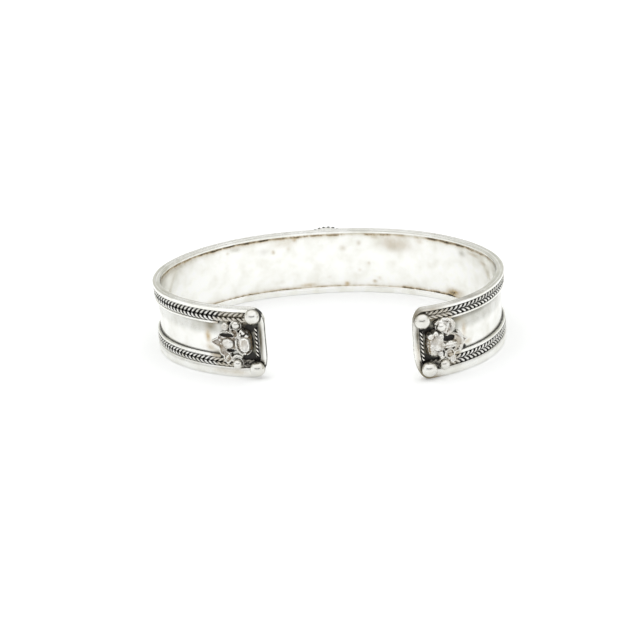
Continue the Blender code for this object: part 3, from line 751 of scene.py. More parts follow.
# Lengths and widths are half ones in mm. The turn is in degrees, and an arc runs from its start to its
# stop in degrees, with 0 toward the tip.
Form = namedtuple("Form", "kind from_end off length width turn rise start stop", defaults=(0, 360))
FORMS = {
    "left": (
        Form("slot", 7.15, 1.1, 1.3, 0.32, 0, 0),
        Form("slot", 6.42, -1.6, 0.95, 0.24, 0, 0),
        Form("dome", 6.85, -0.25, 1.12, 0.9, 0, 1.15),
        Form("dome", 7.0, 2.9, 0.66, 0.78, 0, 1.35),
        Form("ring", 4.9, 2.6, 1.25, 1.4, 0, 0.9, -60, 70),
        Form("band", 5.2, -3.6, 1.15, 1.12, 0, 0.75, 10, 130),
        Form("leaf", 7.2, -2.75, 1.0, 0.45, -50, 0.75),
        Form("dome", 4.0, -0.1, 1.35, 1.8, 0, 0.95),
        Form("band", 3.65, -0.15, 1.5, 1.85, 0, 1.2, -80, 25),
        Form("dish", 3.35, 0.1, 0.88, 1.38, 0, 2.0),
    ),
    "right": (
        Form("slot", 6.45, 0.15, 1.12, 0.48, -5, 0),
        Form("slot", 6.6, -1.75, 0.95, 0.2, 0, 0),
        Form("ridged", 6.55, -0.95, 1.38, 0.72, 0, 1.15),
        Form("dome", 4.85, 3.3, 0.6, 0.6, 0, 1.25),
        Form("leaf", 6.1, 2.2, 1.25, 0.75, 70, 0.8),
        Form("band", 5.5, 2.35, 1.75, 1.35, 0, 0.9, -75, 150),
        Form("ring", 4.85, 2.6, 0.9, 1.15, 0, 0.75, 90, 270),
        Form("ring", 6.32, -2.5, 0.85, 0.8, 0, 0.75),
        Form("dome", 6.85, -3.45, 0.55, 0.68, 0, 0.75),
        Form("band", 8.0, -0.85, 1.0, 1.5, 0, 0.75, -80, 85),
        Form("dome", 4.95, -2.9, 0.5, 0.35, 0, 0.7),
        Form("block", 3.6, -0.25, 1.6, 2.15, 0, 2.0),
    ),
}
# Grains of silver left round the blocks: from_end, off_middle, radius and the height of the top
GRAINS = {
    "left": ((4.0, 2.3, 0.32, 1.3), (3.65, 1.95, 0.34, 1.4), (3.05, 1.5, 0.36, 1.6), (3.75, -1.75, 0.3, 1.1),
             (4.4, 1.5, 0.28, 1.0), (8.5, 0.2, 0.3, 0.62), (8.3, -0.5, 0.28, 0.6)),
    "right": ((2.75, 1.4, 0.55, 1.85), (3.55, 1.75, 0.5, 1.85), (4.5, 1.1, 0.5, 1.75), (4.8, -0.4, 0.4, 1.6),
              (4.3, -1.9, 0.5, 1.75), (3.7, -0.7, 0.6, 1.98)),
}

print("forms:", {side: len(forms) for side, forms in FORMS.items()})

# %% The height of each form
# A ring's half width in mm: a ring is a fine one and a band is a broad one
RING_HALF = {"ring": 0.17, "band": 0.36}
BLOCK_POWER = 3
BLOCK_FACETS = 9
NOWHERE = -9.0


def local(from_end, off, x, y, half_long, half_wide, degrees=0):
    """Turned places over an oval's half lengths."""
    turn = math.radians(degrees)
    along, across = from_end - x, off - y
    return ((along * math.cos(turn) + across * math.sin(turn)) / half_long,
            (across * math.cos(turn) - along * math.sin(turn)) / half_wide)


def oval_reach(u, v, power):
    """(|u|^p + |v|^p)^(1/p), which is 1 on an oval's outline and less inside it."""
    return (np.abs(u) ** power + np.abs(v) ** power) ** (1 / power)


def plate_height(from_end, off, ovals):
    """The plate: its rise inside the ovals' union, with a thin lip just inside the edge."""
    inside = np.full(from_end.shape, NOWHERE)
    for x, y, half_long, half_wide, power in ovals:
        u, v = local(from_end, off, x, y, half_long, half_wide)
        inside = np.maximum(inside, (1 - oval_reach(u, v, power)) * min(half_long, half_wide))
    lip = PLATE_LIP * bell(inside, 0.16, 0.13)
    return FOOT + (PLATE_RISE - FOOT) * smooth_step(-0.02, 0.1, inside) + lip


def form_height(form, u, v, draws):
    """One form's height in mm, and NOWHERE outside it.

    A dome is rise (1 + sqrt(1 - r^2)) / 2, and a ridged one has grooves along it. A leaf falls from its
    fold in a straight line. A ring is a round ridge, 1 - (distance / half width)^2, about r = 1. A dish
    is a flat top with a hollow and a bump in it, and a block is the lowest of some tilted planes."""
    r = np.hypot(u, v)
    size = min(form.length, form.width)
    if form.kind in ("dome", "ridged"):
        dome = form.rise * (0.5 + 0.5 * np.sqrt(np.clip(1 - r**2, 0, 1)))
        ridges = 0.1 * (1 + np.cos(v * 2.6 * math.pi)) if form.kind == "ridged" else 0
        return np.where(r < 1, dome - ridges, NOWHERE)
    if form.kind == "leaf":
        width = np.clip(1 - np.abs(u) ** 1.5, 0.001, 1)
        fold = 1 - 0.45 * np.abs(v) / width - 0.2 * u**2
        return np.where((np.abs(u) < 1) & (np.abs(v) < width), form.rise * fold, NOWHERE)
    if form.kind in RING_HALF:
        half = RING_HALF[form.kind]
        place = np.degrees(np.arctan2(v, u)) - (form.start + form.stop) / 2
        place = np.abs((place + 180) % 360 - 180)
        reach = (form.stop - form.start) / 2
        shown = smooth_step(reach + 12, reach - 4, place) if reach < 180 else 1
        ridge = 1 - ((r - 1) * size / half) ** 2
        return np.where((ridge > 0) & (shown > 0.05), form.rise * (0.55 + 0.45 * ridge) * shown, NOWHERE)
    edge = oval_reach(u, v, BLOCK_POWER)
    if form.kind == "dish":
        top = form.rise - 0.16 * smooth_step(0.8, 0.45, edge) + 0.12 * bell(r, 0.0, 0.3)
        return np.where(edge < 1.02, top - 1.2 * smooth_step(0.85, 1.05, edge), NOWHERE)
    # A block, whose far side slopes down to the sheet
    top = np.full(u.shape, form.rise)
    for _ in range(BLOCK_FACETS):
        angle, shift = draws.uniform(0, 2 * math.pi), draws.uniform(0.0, 0.8)
        lean = (u * form.length * math.cos(angle) + v * form.width * math.sin(angle)) - shift
        top = np.minimum(top, form.rise - draws.uniform(0.3, 0.7) * np.clip(lean, 0, None))
    top = top - 1.0 * smooth_step(-0.5, -1.05, u)
    return np.where(edge < 1.02, top - 0.8 * smooth_step(0.8, 1.05, edge), NOWHERE)


def blurred(height, reach):
    """The mean over a square of 2 reach + 1 points a side, from running sums along both axes."""
    for axis in (0, 1):
        padded = np.pad(height, [(reach + 1, reach) if a == axis else (0, 0) for a in (0, 1)], mode="edge")
        sums = np.cumsum(padded, axis=axis)
        size = 2 * reach + 1
        high = np.take(sums, range(size, sums.shape[axis]), axis=axis)
        low = np.take(sums, range(0, sums.shape[axis] - size), axis=axis)
        height = (high - low) / size
    return height


# %% The relief as one surface
# All in mm. The patch that it covers runs from the end of the band, and up from the band's middle. Its
# top is cut off where the box round the solids stops.
RELIEF_ALONG = (1.9, 10.6)
RELIEF_ACROSS = (-5.0, 4.4)
RELIEF_STEP = 0.05
RELIEF_TOP = 2.02
SLOT_FLOOR = 0.02
SLOT_POWER = 2.6
PIT_DEPTH = 0.075
RELIEF_SEEDS = {"left": 21, "right": 24}


def relief(side):
    """Places over the flat end of the band with their heights, and how deep the slots are cut.

    Slots are cut first and forms are laid over them, then all of it is softened, and pitted by chance."""
    e, q = np.arange(*RELIEF_ALONG, RELIEF_STEP)[:, None], np.arange(*RELIEF_ACROSS, RELIEF_STEP)[None, :]
    e, q = np.broadcast_arrays(e, q)
    height = plate_height(e, q, PLATES[side])
    draws = np.random.default_rng(RELIEF_SEEDS[side])
    slots = np.zeros(e.shape)
    for form in FORMS[side]:
        u, v = local(e, q, form.from_end, form.off, form.length, form.width, form.turn)
        if form.kind == "slot":
            deep = smooth_step(1.12, 0.88, oval_reach(u, v, SLOT_POWER))
            height = height * (1 - deep) + SLOT_FLOOR * deep
            slots = np.maximum(slots, deep)
            continue
        raised = form_height(form, u, v, draws)
        slots = np.where(raised > height, 0, slots)
        height = np.maximum(height, raised)
    for x, y, radius, top in GRAINS[side]:
        far = np.hypot(e - x, q - y) / radius
        grain = np.where(far < 1, top - 0.75 * radius * (1 - np.sqrt(np.clip(1 - far**2, 0, 1))), NOWHERE)
        height = np.maximum(height, grain)
    wobble = 0.02 * np.sin(e * 5.3 + 1.7 * np.sin(q * 3.1)) * np.sin(q * 6.1 + 1.3 * np.sin(e * 2.7))
    pitted = blurred(draws.normal(0, 1, e.shape), 1)
    pitted = PIT_DEPTH * (pitted + 1.6 * blurred(draws.normal(0, 1, e.shape), 3))
    rough = (wobble + pitted) * smooth_step(0.05, 0.3, height)
    return e, q, np.clip(blurred(height, 1) + rough, FOOT, RELIEF_TOP), slots


# %% How dirt, tarnish and painted shade lie on the relief
# How thick the dull film lies on each plate
PLATE_FILM = {"left": 0.45, "right": 0.05}


def relief_shades(side, e, q, height, slots):
    """Black in the slots and the hollows, and black where the plate meets the sheet, which is partly painted
    shade; tarnish on the flats, painted shade on the steep sides, and bright on what stands out.

    A point that lies lower than the blurred relief is in a hollow, and a higher one has been rubbed."""
    hollow = smooth_step(0.01, 0.15, blurred(height, 4) - height)
    toward_end = smooth_step(0.5, 1.6, np.gradient(height, RELIEF_STEP, axis=0)) * smooth_step(3.9, 3.0, e)
    steep = smooth_step(1.2, 3.0, np.hypot(*np.gradient(height, RELIEF_STEP)))
    low = smooth_step(0.3, 0.0, height)
    cloudy = 0.15 * np.sin(e * 2.3 + q) * np.sin(q * 2.9)
    flat = smooth_step(0.62, 0.5, height)
    worn = 1 - 0.9 * smooth_step(0.01, 0.09, height - blurred(height, 4))
    dirt_and_painted_shade = 0.36 + PLATE_FILM[side] * flat + 0.6 * hollow + toward_end + 0.35 * steep + cloudy
    brown = 0.1 + 0.1 * flat + 0.5 * toward_end + 0.15 * hollow + 0.1 * np.sin(e * 1.9 + 2 * q)
    return {
        "black": np.clip(slots + low + (0.75 * hollow + 0.25 * steep * hollow) * worn, 0, 1),
        "haze": np.clip(dirt_and_painted_shade * worn, 0, 1),
        "stain": np.clip(brown * worn, 0, 1),
    }


# %% The ornaments
def ornament(side):
    """Lays the relief on the band and closes it underneath with a fan to one point."""
    e, q, height, slots = relief(side)
    top = on_band(run_at(side, e), MIDDLE + q * MM, SHEET_OUT + height * MM)
    rows, columns = e.shape
    rim = np.concatenate([np.arange(columns), np.arange(1, rows) * columns + columns - 1,
                          (rows - 1) * columns + np.arange(columns - 2, -1, -1),
                          np.arange(rows - 2, 0, -1) * columns])
    centre = on_band(run_at(side, e.mean()), MIDDLE, SHEET_OUT + FOOT * MM)
    points = np.concatenate([top.reshape(-1, 3), centre.reshape(1, 3)])
    fan = np.stack([np.roll(rim, -1), rim, np.full(rim.shape, rows * columns)], axis=-1)
    faces = quads(rows, columns, False, False).tolist() + fan.tolist()
    shades = relief_shades(side, e, q, height, slots)
    shades = {label: np.append(value.ravel(), 1.0) for label, value in shades.items()}
    return made_object(f"ornament_{side}", points, faces, shades)


ornaments = [ornament(side) for side in ("left", "right")]

# %% [markdown]
# ## Balls and upright wires
#
# A bead of silver melted on charcoal pulls itself into a ball. Each ball is turned: a circle that
# flares at its foot into the solder that holds it. Between the two corner balls of each end stands a
# short length of twisted wire.

# %% Balls
SMALL_BALL = 1.7
# Where the turned profile starts and stops, in degrees from the ball's top
BALL_TOP = 3
BALL_FOOT = 128
BALL_ROWS = 24
BALL_COLUMNS = 40
# A ball is never quite round: its mean radius as a share, then how far two and three lobes stand out
BALL_SHARE = 0.984
TWO_LOBES = 0.009
THREE_LOBES = 0.007

BALLS = (  # name, side, from_end, off_middle, diameter, height of its centre above the sheet, in mm
    ("corner_ball_left_upper", *CORNER_BALLS[0], CORNER_BALL, 0.975),
    ("corner_ball_left_lower", *CORNER_BALLS[1], CORNER_BALL, 0.975),
    ("corner_ball_right_upper", *CORNER_BALLS[2], CORNER_BALL, 0.9),
    ("corner_ball_right_lower", *CORNER_BALLS[3], CORNER_BALL, 0.975),
    ("small_ball_left_upper", "left", 4.95, 3.3, 0.85 * SMALL_BALL, 0.8),
    ("small_ball_left_lower", "left", 5.19, -3.75, SMALL_BALL, 0.8),
    ("small_ball_right_upper", "right", 4.81, 2.6, SMALL_BALL, 0.8),
    ("small_ball_right_lower", "right", 5.1, -4.05, 1.1 * SMALL_BALL, 0.8),
)


def ball(name, side, from_end, off, diameter, centre, seed):
    """A turned ball, r sin t and r cos t down to its foot, then a flare to the sheet."""
    t = np.radians(np.linspace(BALL_TOP, BALL_FOOT, BALL_ROWS))
    reach, rise = diameter / 2 * np.sin(t), centre + diameter / 2 * np.cos(t)
    reach = np.append(reach, [reach[-1] * 1.02, reach[-1] * 1.12, reach[-1] * 1.1])
    rise = np.append(rise, [rise[-1] - 0.05, min(rise[-1] - 0.12, 0.0), FOOT])
    angle = np.linspace(0, 2 * math.pi, BALL_COLUMNS, endpoint=False)[None, :]
    phase = np.random.default_rng(seed).uniform(0, 2 * math.pi, 2)
    reach, rise = reach[:, None], rise[:, None]
    uneven = BALL_SHARE + TWO_LOBES * np.sin(2 * angle + phase[0])
    uneven = uneven + THREE_LOBES * np.sin(3 * angle + phase[1] + reach * 2)
    x = reach * np.cos(angle) * uneven
    y = reach * np.sin(angle) * uneven
    grid = on_band(run_at(side, from_end + x), MIDDLE + (off + y) * MM, SHEET_OUT + rise * MM)
    low = smooth_step(0.4, -0.2, (rise - centre) / (diameter / 2))
    return skin(name, grid, {"black": smooth_step(0.75, 1.0, low), "haze": 0.18 + 0.8 * low,
                             "stain": 0.05 + 0.2 * low})


balls = [ball(*row, seed=40 + number) for number, row in enumerate(BALLS)]

# %% Upright wires
END_WIRE = 0.58 * MM
END_WIRE_LEAD = 1.5 * MM
END_WIRE_SUNK = 0.05 * MM
END_CREVICE = (0.97, 0.72)
# side, low and high ends of the wire, and its distance from the end of the band at each, in mm
END_WIRES = (("left", 3.6, 8.8, 1.7, 1.7), ("right", 3.2, 8.3, 1.65, 1.5))


def end_wire(side, low, high, place_low, place_high):
    """Two strands twisted about an upright line, a little way in from the end."""
    centre_out = SHEET_OUT + END_WIRE / 2 - END_WIRE_SUNK
    tubes = []
    for turn in (0.0, math.pi):
        height, across, out, depth = strand(low * MM, high * MM, lambda s: 0.0, lambda s: centre_out,
                                            lambda s: END_WIRE, -END_WIRE_LEAD, turn)
        place = place_low + (place_high - place_low) * (height / MM - low) / (high - low)
        deep = smooth_step(0.3, -0.3, (out - centre_out) / (END_WIRE / 2))
        dark = np.maximum(smooth_step(*END_CREVICE, depth), deep)
        tubes.append((on_band(run_at(side, place) + across, height, out), {"black": dark, "stain": 0.15}))
    return joined(f"end_wire_{side}", tubes)


end_wires = [end_wire(*row) for row in END_WIRES]

# %% [markdown]
# ## The setting and the stone
#
# The stone faces away in the usual view. It sits in a plain bezel, a strip of thin silver rubbed
# over its edge, with a ring of small beads round it on a round plate. All of these are turned about
# one line through the front of the band.

# %% The plate and the bezel
# All in mm, with rises measured out from the frame's outer face
STONE_DIAMETER = 9.0
STONE_GIRDLE = 0.8
STONE_DOME = 2.2
STONE_CLEARANCE = 0.3
BEZEL_WALL = 0.4
BEZEL_RISE = 1.5
RING_WIRE_DIAMETER = 0.9
RING_CLEARANCE = 0.06
PLATE_TOP = 1.3
BEZEL_RADIUS = STONE_DIAMETER / 2 + STONE_CLEARANCE + BEZEL_WALL
RING_RADIUS = BEZEL_RADIUS + RING_WIRE_DIAMETER / 2 + RING_CLEARANCE
PLATE_RADIUS = RING_RADIUS + RING_WIRE_DIAMETER / 2 - 0.1
DISC_COLUMNS = 96
BEZEL_COLUMNS = 160
# How far the turned pieces are out of round, as a share of the radius
OUT_OF_ROUND = 0.0015


def front_place(x, y, rise):
    """Points of the setting in the CAD model's frame, from mm along the band, up it and outwards."""
    x, y, rise = np.broadcast_arrays(x, y, rise)
    return np.stack([FRONT_X + x * MM, FRONT_Y + rise * MM, MIDDLE + y * MM], axis=-1)


def turned(name, profile, columns, black, closed=False, **kind):
    """Turns (radius, rise) about the stone's line: x = r cos a, y = r sin a.

    A closed profile makes a ring, whose rows go round; an open one makes a disc, capped at both ends."""
    profile = np.array(profile)
    angle = np.linspace(0, 2 * math.pi, columns, endpoint=False)
    radius, rise = profile[:, :1] * (1 - OUT_OF_ROUND * (1 + np.sin(3 * angle + 1.1))), profile[:, 1:]
    grid = front_place(radius * np.cos(angle), radius * np.sin(angle), rise)
    shade = np.array(black)[:, None]
    if closed:
        grid, shade = grid.transpose(1, 0, 2), shade.T
    return skin(name, grid, {"black": shade, "haze": 0.1}, wrap_rows=closed, **kind)


plate_foot = -(SHEET_RECESS + SHEET_THICKNESS / 2) / MM
plate_profile = [(0.05, plate_foot), (PLATE_RADIUS - 0.02, plate_foot), (PLATE_RADIUS, plate_foot + 0.05)]
plate_profile += [(PLATE_RADIUS, h) for h in np.linspace(plate_foot + 0.2, PLATE_TOP - 0.1, 6)]
plate_profile += [(PLATE_RADIUS - 0.03, PLATE_TOP - 0.02), (PLATE_RADIUS - 0.1, PLATE_TOP)]
plate_profile += [(r, PLATE_TOP) for r in np.linspace(PLATE_RADIUS - 0.4, 0.05, 8)]
plate_black = [0, 0, 0] + [0.1] * 6 + [0.3, 0.6] + [1] * 8
setting_plate = turned("setting_plate", plate_profile, DISC_COLUMNS, plate_black)

top, inner = PLATE_TOP + BEZEL_RISE, BEZEL_RADIUS - BEZEL_WALL
bezel_profile = [(inner, PLATE_TOP - 0.2), (BEZEL_RADIUS, PLATE_TOP - 0.2), (BEZEL_RADIUS, PLATE_TOP + 0.1)]
bezel_profile += [(BEZEL_RADIUS - 0.02 * i, PLATE_TOP + 0.1 + 0.22 * i) for i in range(1, 6)]
bezel_profile += [(BEZEL_RADIUS - 0.17, top - 0.08), (BEZEL_RADIUS - 0.27, top), (inner - 0.02, top - 0.01),
                  (inner - 0.05, top - 0.08), (inner, top - 0.3)]
bezel_black = [1, 1, 0.9, 0.4, 0.1, 0, 0, 0, 0, 0, 0, 0.6, 1]
bezel = turned("bezel", bezel_profile, BEZEL_COLUMNS, bezel_black, closed=True)

# %% The ring of beads
BEADS = 42
BEAD_ROWS = 11
BEAD_COLUMNS = 14
# The beads' sizes vary by chance between this share and the whole
BEAD_LEAST = 0.94


def bead_ring():
    """Beads side by side round the bezel, all in one object: each is r sin t and r cos t, turned."""
    tubes = []
    radius = RING_WIRE_DIAMETER / 2
    t = np.radians(np.linspace(5, 175, BEAD_ROWS))[:, None]
    a = np.linspace(0, 2 * math.pi, BEAD_COLUMNS, endpoint=False)[None, :]
    for number, size in enumerate(np.random.default_rng(9).uniform(BEAD_LEAST, 1.0, BEADS)):
        angle = 2 * math.pi * number / BEADS
        bead_x, bead_y = RING_RADIUS * math.cos(angle), RING_RADIUS * math.sin(angle)
        r = radius * size
        x = bead_x + r * np.sin(t) * np.cos(a)
        y = bead_y + r * np.sin(t) * np.sin(a)
        rise = PLATE_TOP + radius * 0.5 + r * np.cos(t)
        low = smooth_step(0.75, 0.1, (rise - PLATE_TOP) / radius)
        black = np.maximum(low, smooth_step(0.6, 0.95, np.hypot(x - bead_x, y - bead_y) / radius))
        tubes.append((front_place(x, y, rise), {"black": black, "stain": 0.1}))
    return joined("bead_ring", tubes)


beads = bead_ring()

# %% The cabochon
OPAL_LOW = PLATE_TOP + STONE_CLEARANCE
STONE_CHAMFER = 0.15
girdle = STONE_DIAMETER / 2
opal_profile = [(0.05, OPAL_LOW), (girdle - STONE_CHAMFER, OPAL_LOW), (girdle, OPAL_LOW + STONE_CHAMFER)]
opal_profile += [(girdle * math.cos(lift), OPAL_LOW + STONE_GIRDLE + STONE_DOME * math.sin(lift))
                 for lift in np.radians(np.linspace(0, 87, 24))]
opal_black = [0] * len(opal_profile)
cabochon = turned("opal_cabochon", opal_profile, DISC_COLUMNS, opal_black, node="opal", slot="opal")

# %% [markdown]
# ## Finishes
#
# Sterling silver is almost white, a very little warm, and it reflects nearly all of the light. What
# gives it depth is the black left in its hollows and how the wheel polished the rest. Colours are
# written as the sRGB hex values that a picture editor shows, and one function turns them into the
# linear numbers that the renderer adds up.

# %% Colours and nodes
def linear(code, alpha=1.0):
    """sRGB to linear: c / 12.92 below 0.04045, else ((c + 0.055) / 1.055) ^ 2.4."""
    parts = [int(code[i:i + 2], 16) / 255 for i in (1, 3, 5)]
    return tuple(c / 12.92 if c <= 0.04045 else ((c + 0.055) / 1.055) ** 2.4 for c in parts) + (alpha,)


def add(tree, kind, inputs=None, **settings):
    """Adds a node, sets its properties, and fills its inputs with values or with other sockets.

    Inputs go by name, or by number where names repeat: in a colour Mix, 0 is the share of the second
    colour, and 6 and 7 are the two colours."""
    made = tree.nodes.new("ShaderNode" + kind)
    for key, value in settings.items():
        setattr(made, key, value)
    for key, value in (inputs or {}).items():
        if isinstance(value, bpy.types.NodeSocket):
            tree.links.new(value, made.inputs[key])
        else:
            made.inputs[key].default_value = value
    return made


# %% [markdown]
# ## Blackened silver
#
# The whole cuff was dipped to blacken it and then polished, so the high places are bright and the
# hollows are black. The black is silver sulphide, a thin matt brown-black layer that is no metal to
# the eye. A thinner film of the same is grey-green and still shines. The same black and grey-green are
# also painted where there is only shade, in gaps, beside the wires and round the balls, and where the
# metal would mirror the dim wall. Fine noise breaks the borders, as a polishing wheel does. The polish
# leaves hair-fine scratches, which roughen the reflection a little, and solder leaves tan stains.

# %% Silver
# Polished silver at its cleanest and where it has begun to yellow
SILVER = linear("#F9F9F6")
WARM_SILVER = linear("#ECEBE4")
SOLDER_TAN = linear("#B39A6C")
OXIDE = linear("#1D1A16")
# The grey-green of a thin tarnish, which is also painted as shade and as reflections of the dim wall, and a
# pinker grey for the struck ornaments
FILM_AND_SHADING_GREY = linear("#76756A")
STRUCK_FILM_AND_SHADING_GREY = linear("#857D76")
# How much the grey-green or the black adds to the roughness
DULL_ROUGHNESS = 0.35
# The sizes of the specks, the clouds and the scratches in mm. Real scratches are hundredths of a
# millimetre wide and would not show, so these are drawn coarser. They run level.
GRAIN_MM = 0.32
CLOUD_MM = 2.6
SCRATCH_MM = 0.09
SCRATCH_STRETCH = 14
DENT_DEPTH = 0.03 * MM


def silver(name, polish, dents=0.08, painted_shading_and_film=FILM_AND_SHADING_GREY, grain_share=0.18):
    """A silver finish that reads the points' shades.

    Clean silver turns grey-green by its third shade, which is tarnish and painted shading, to tan by the
    stain, and to black, oxide and painted shade alike, by the black. The polish is the roughness of the
    clean metal."""
    made = bpy.data.materials.new(name)
    made.use_nodes = True
    tree = made.node_tree
    shader = tree.nodes["Principled BSDF"]
    place = add(tree, "TexCoord").outputs["Object"]
    black, stain, haze = (add(tree, "Attribute", attribute_name=label).outputs["Fac"] for label in SHADES)
    grain = add(tree, "TexNoise", {"Vector": place, "Scale": 1 / (GRAIN_MM * MM),
                                   "Detail": 4.0}).outputs["Fac"]
    cloud = add(tree, "TexNoise", {"Vector": place, "Scale": 1 / (CLOUD_MM * MM),
                                   "Detail": 3.0}).outputs["Fac"]
    stretched = add(tree, "Mapping", {"Vector": place, "Scale": (1.0, 1.0, SCRATCH_STRETCH)}).outputs[0]
    scratch = add(tree, "TexNoise", {"Vector": stretched, "Scale": 1 / (SCRATCH_MM * MM * SCRATCH_STRETCH),
                                     "Detail": 2.0}).outputs["Fac"]
    uneven = add(tree, "MapRange", {"Value": grain, "From Min": 0.3, "From Max": 0.7, "To Min": -grain_share,
                                    "To Max": grain_share}).outputs[0]
    shifted = add(tree, "Math", {0: black, 1: uneven}, operation="ADD").outputs[0]
    mask = add(tree, "MapRange", {"Value": shifted, "From Min": 0.25, "From Max": 0.75},
               interpolation_type="SMOOTHSTEP").outputs[0]
    warmth = add(tree, "MapRange", {"Value": cloud, "From Min": 0.4, "From Max": 0.7}).outputs[0]
    clean = add(tree, "Mix", {0: warmth, 6: SILVER, 7: WARM_SILVER}, data_type="RGBA").outputs[2]
    patchy = add(tree, "MapRange", {"Value": cloud, "From Min": 0.3, "From Max": 0.7, "To Min": 0.8,
                                    "To Max": 1.1}).outputs[0]
    filmed_and_shaded = add(tree, "Math", {0: haze, 1: patchy}, operation="MULTIPLY", use_clamp=True).outputs[0]
    dulled = add(tree, "Mix", {0: filmed_and_shaded, 6: clean, 7: painted_shading_and_film}, data_type="RGBA").outputs[2]
    speckle = add(tree, "MapRange", {"Value": grain, "From Min": 0.25, "From Max": 0.6,
                                     "To Min": 0.55}).outputs[0]
    blotch = add(tree, "Math", {0: stain, 1: speckle}, operation="MULTIPLY", use_clamp=True).outputs[0]
    stained = add(tree, "Mix", {0: blotch, 6: dulled, 7: SOLDER_TAN}, data_type="RGBA").outputs[2]
    colour = add(tree, "Mix", {0: mask, 6: stained, 7: OXIDE}, data_type="RGBA").outputs[2]
    tree.links.new(colour, shader.inputs["Base Color"])
    matt = add(tree, "MapRange", {"Value": mask, "To Min": 1.0, "To Max": 0.2}).outputs[0]
    tree.links.new(matt, shader.inputs["Metallic"])
    scored = add(tree, "MapRange", {"Value": scratch, "From Min": 0.3, "From Max": 0.7,
                                    "To Min": polish * 0.85, "To Max": polish * 1.2}).outputs[0]
    dull = add(tree, "Math", {0: mask, 1: filmed_and_shaded}, operation="MAXIMUM").outputs[0]
    rough = add(tree, "Math", {0: dull, 1: DULL_ROUGHNESS, 2: scored}, operation="MULTIPLY_ADD").outputs[0]
    tree.links.new(rough, shader.inputs["Roughness"])
    bump = add(tree, "Bump", {"Height": grain, "Strength": dents, "Distance": DENT_DEPTH})
    tree.links.new(bump.outputs[0], shader.inputs["Normal"])
    return made


rim_silver = silver("polished_sterling_wire", 0.16, dents=0.05)
sheet_silver = silver("burnished_sterling_sheet", 0.14, dents=0.04, grain_share=0.12)
rope_silver = silver("blackened_twisted_wire", 0.18)
struck_silver = silver("blackened_struck_silver", 0.22, dents=0.25, painted_shading_and_film=STRUCK_FILM_AND_SHADING_GREY)
ball_silver = silver("polished_silver_bead", 0.14, dents=0.1)

for pieces, finish in (((frame_wire, *inner_wires, bezel), rim_silver), ((band_sheet,), sheet_silver),
                       ((*braids, beads, *end_wires), rope_silver),
                       ((*ornaments, setting_plate), struck_silver), (balls, ball_silver)):
    for piece in pieces:
        piece.data.materials.append(finish)
    print(f"{finish.name}: on {len(pieces)}")

# %% [markdown]
# ## Opal
#
# Precious opal is a milky stone that splits light into patches of pure colour. Cells of a Voronoi
# pattern about a millimetre across stand for those patches: each takes its own hue, from blue
# through green to a rare red, over a pale body. A clear polish lies over it all, with opal's IOR of
# 1.45.

# %% The opal
# How wide the patches, the bends of their borders and the milky clouds are, and how far a border bends
PATCH_MM = 1.1
WARP_MM = 2.2
WARP_REACH_MM = 1.2
MILK_MM = 1.6
# The pale body and its milky clouds
OPAL_BODY = linear("#B9D3DA")
OPAL_MILK = linear("#DCE6E6")
# The share of patches up to each hue
FIRE = ((0.0, "#3E7FC9"), (0.3, "#4CB6C8"), (0.55, "#63C79A"), (0.8, "#B9CF6B"), (0.93, "#E08A55"),
        (1.0, "#D2566A"))

opal_finish = bpy.data.materials.new("polished_precious_opal")
opal_finish.use_nodes = True
tree = opal_finish.node_tree
shader = tree.nodes["Principled BSDF"]
place = add(tree, "TexCoord").outputs["Object"]
warp = add(tree, "TexNoise", {"Vector": place, "Scale": 1 / (WARP_MM * MM), "Detail": 2.0}).outputs["Color"]
moved = add(tree, "VectorMath", {0: warp, 1: (WARP_REACH_MM * MM,) * 3}, operation="MULTIPLY").outputs[0]
bent = add(tree, "VectorMath", {0: place, 1: moved}, operation="ADD").outputs[0]
cells = add(tree, "TexVoronoi", {"Vector": bent, "Scale": 1 / (PATCH_MM * MM)})
parts = add(tree, "SeparateColor", {"Color": cells.outputs["Color"]})
fire = add(tree, "ValToRGB", {"Fac": parts.outputs[0]})
for number, (share, code) in enumerate(FIRE):
    if number > 1:
        fire.color_ramp.elements.new(share)
    fire.color_ramp.elements[number].position = share
    fire.color_ramp.elements[number].color = linear(code)
milk = add(tree, "TexNoise", {"Vector": place, "Scale": 1 / (MILK_MM * MM), "Detail": 4.0}).outputs["Fac"]
milky = add(tree, "MapRange", {"Value": milk, "From Min": 0.3, "From Max": 0.7}).outputs[0]
body = add(tree, "Mix", {0: milky, 6: OPAL_BODY, 7: OPAL_MILK}, data_type="RGBA").outputs[2]
show = add(tree, "MapRange", {"Value": parts.outputs[1], "From Min": 0.2, "From Max": 0.9, "To Min": 0.15,
                              "To Max": 0.85}).outputs[0]
colour = add(tree, "Mix", {0: show, 6: body, 7: fire.outputs["Color"]}, data_type="RGBA").outputs[2]
tree.links.new(colour, shader.inputs["Base Color"])
for socket, value in (("Roughness", 0.08), ("IOR", 1.45), ("Subsurface Weight", 0.25),
                      ("Subsurface Radius", (0.8, 0.9, 1.0)), ("Subsurface Scale", 1.5 * MM),
                      ("Coat Weight", 0.5), ("Coat Roughness", 0.03)):
    shader.inputs[socket].default_value = value
cabochon.data.materials.append(opal_finish)
print("nodes in the opal:", len(tree.nodes))

# %% [markdown]
# ## The studio
#
# Polished silver has hardly any colour of its own, so the room decides how it looks. The cuff stands
# on white paper in a bright soft room that lights it from every side and casts no hard shadow. A
# dimmer strip of wall behind it makes its flat edges grey-green, and a small dark thing in front of
# it is the grey dash that shows in each ball.

# %% The paper
PAPER_SIZE = 6.0
PAPER_BELOW = 0.05 * MM
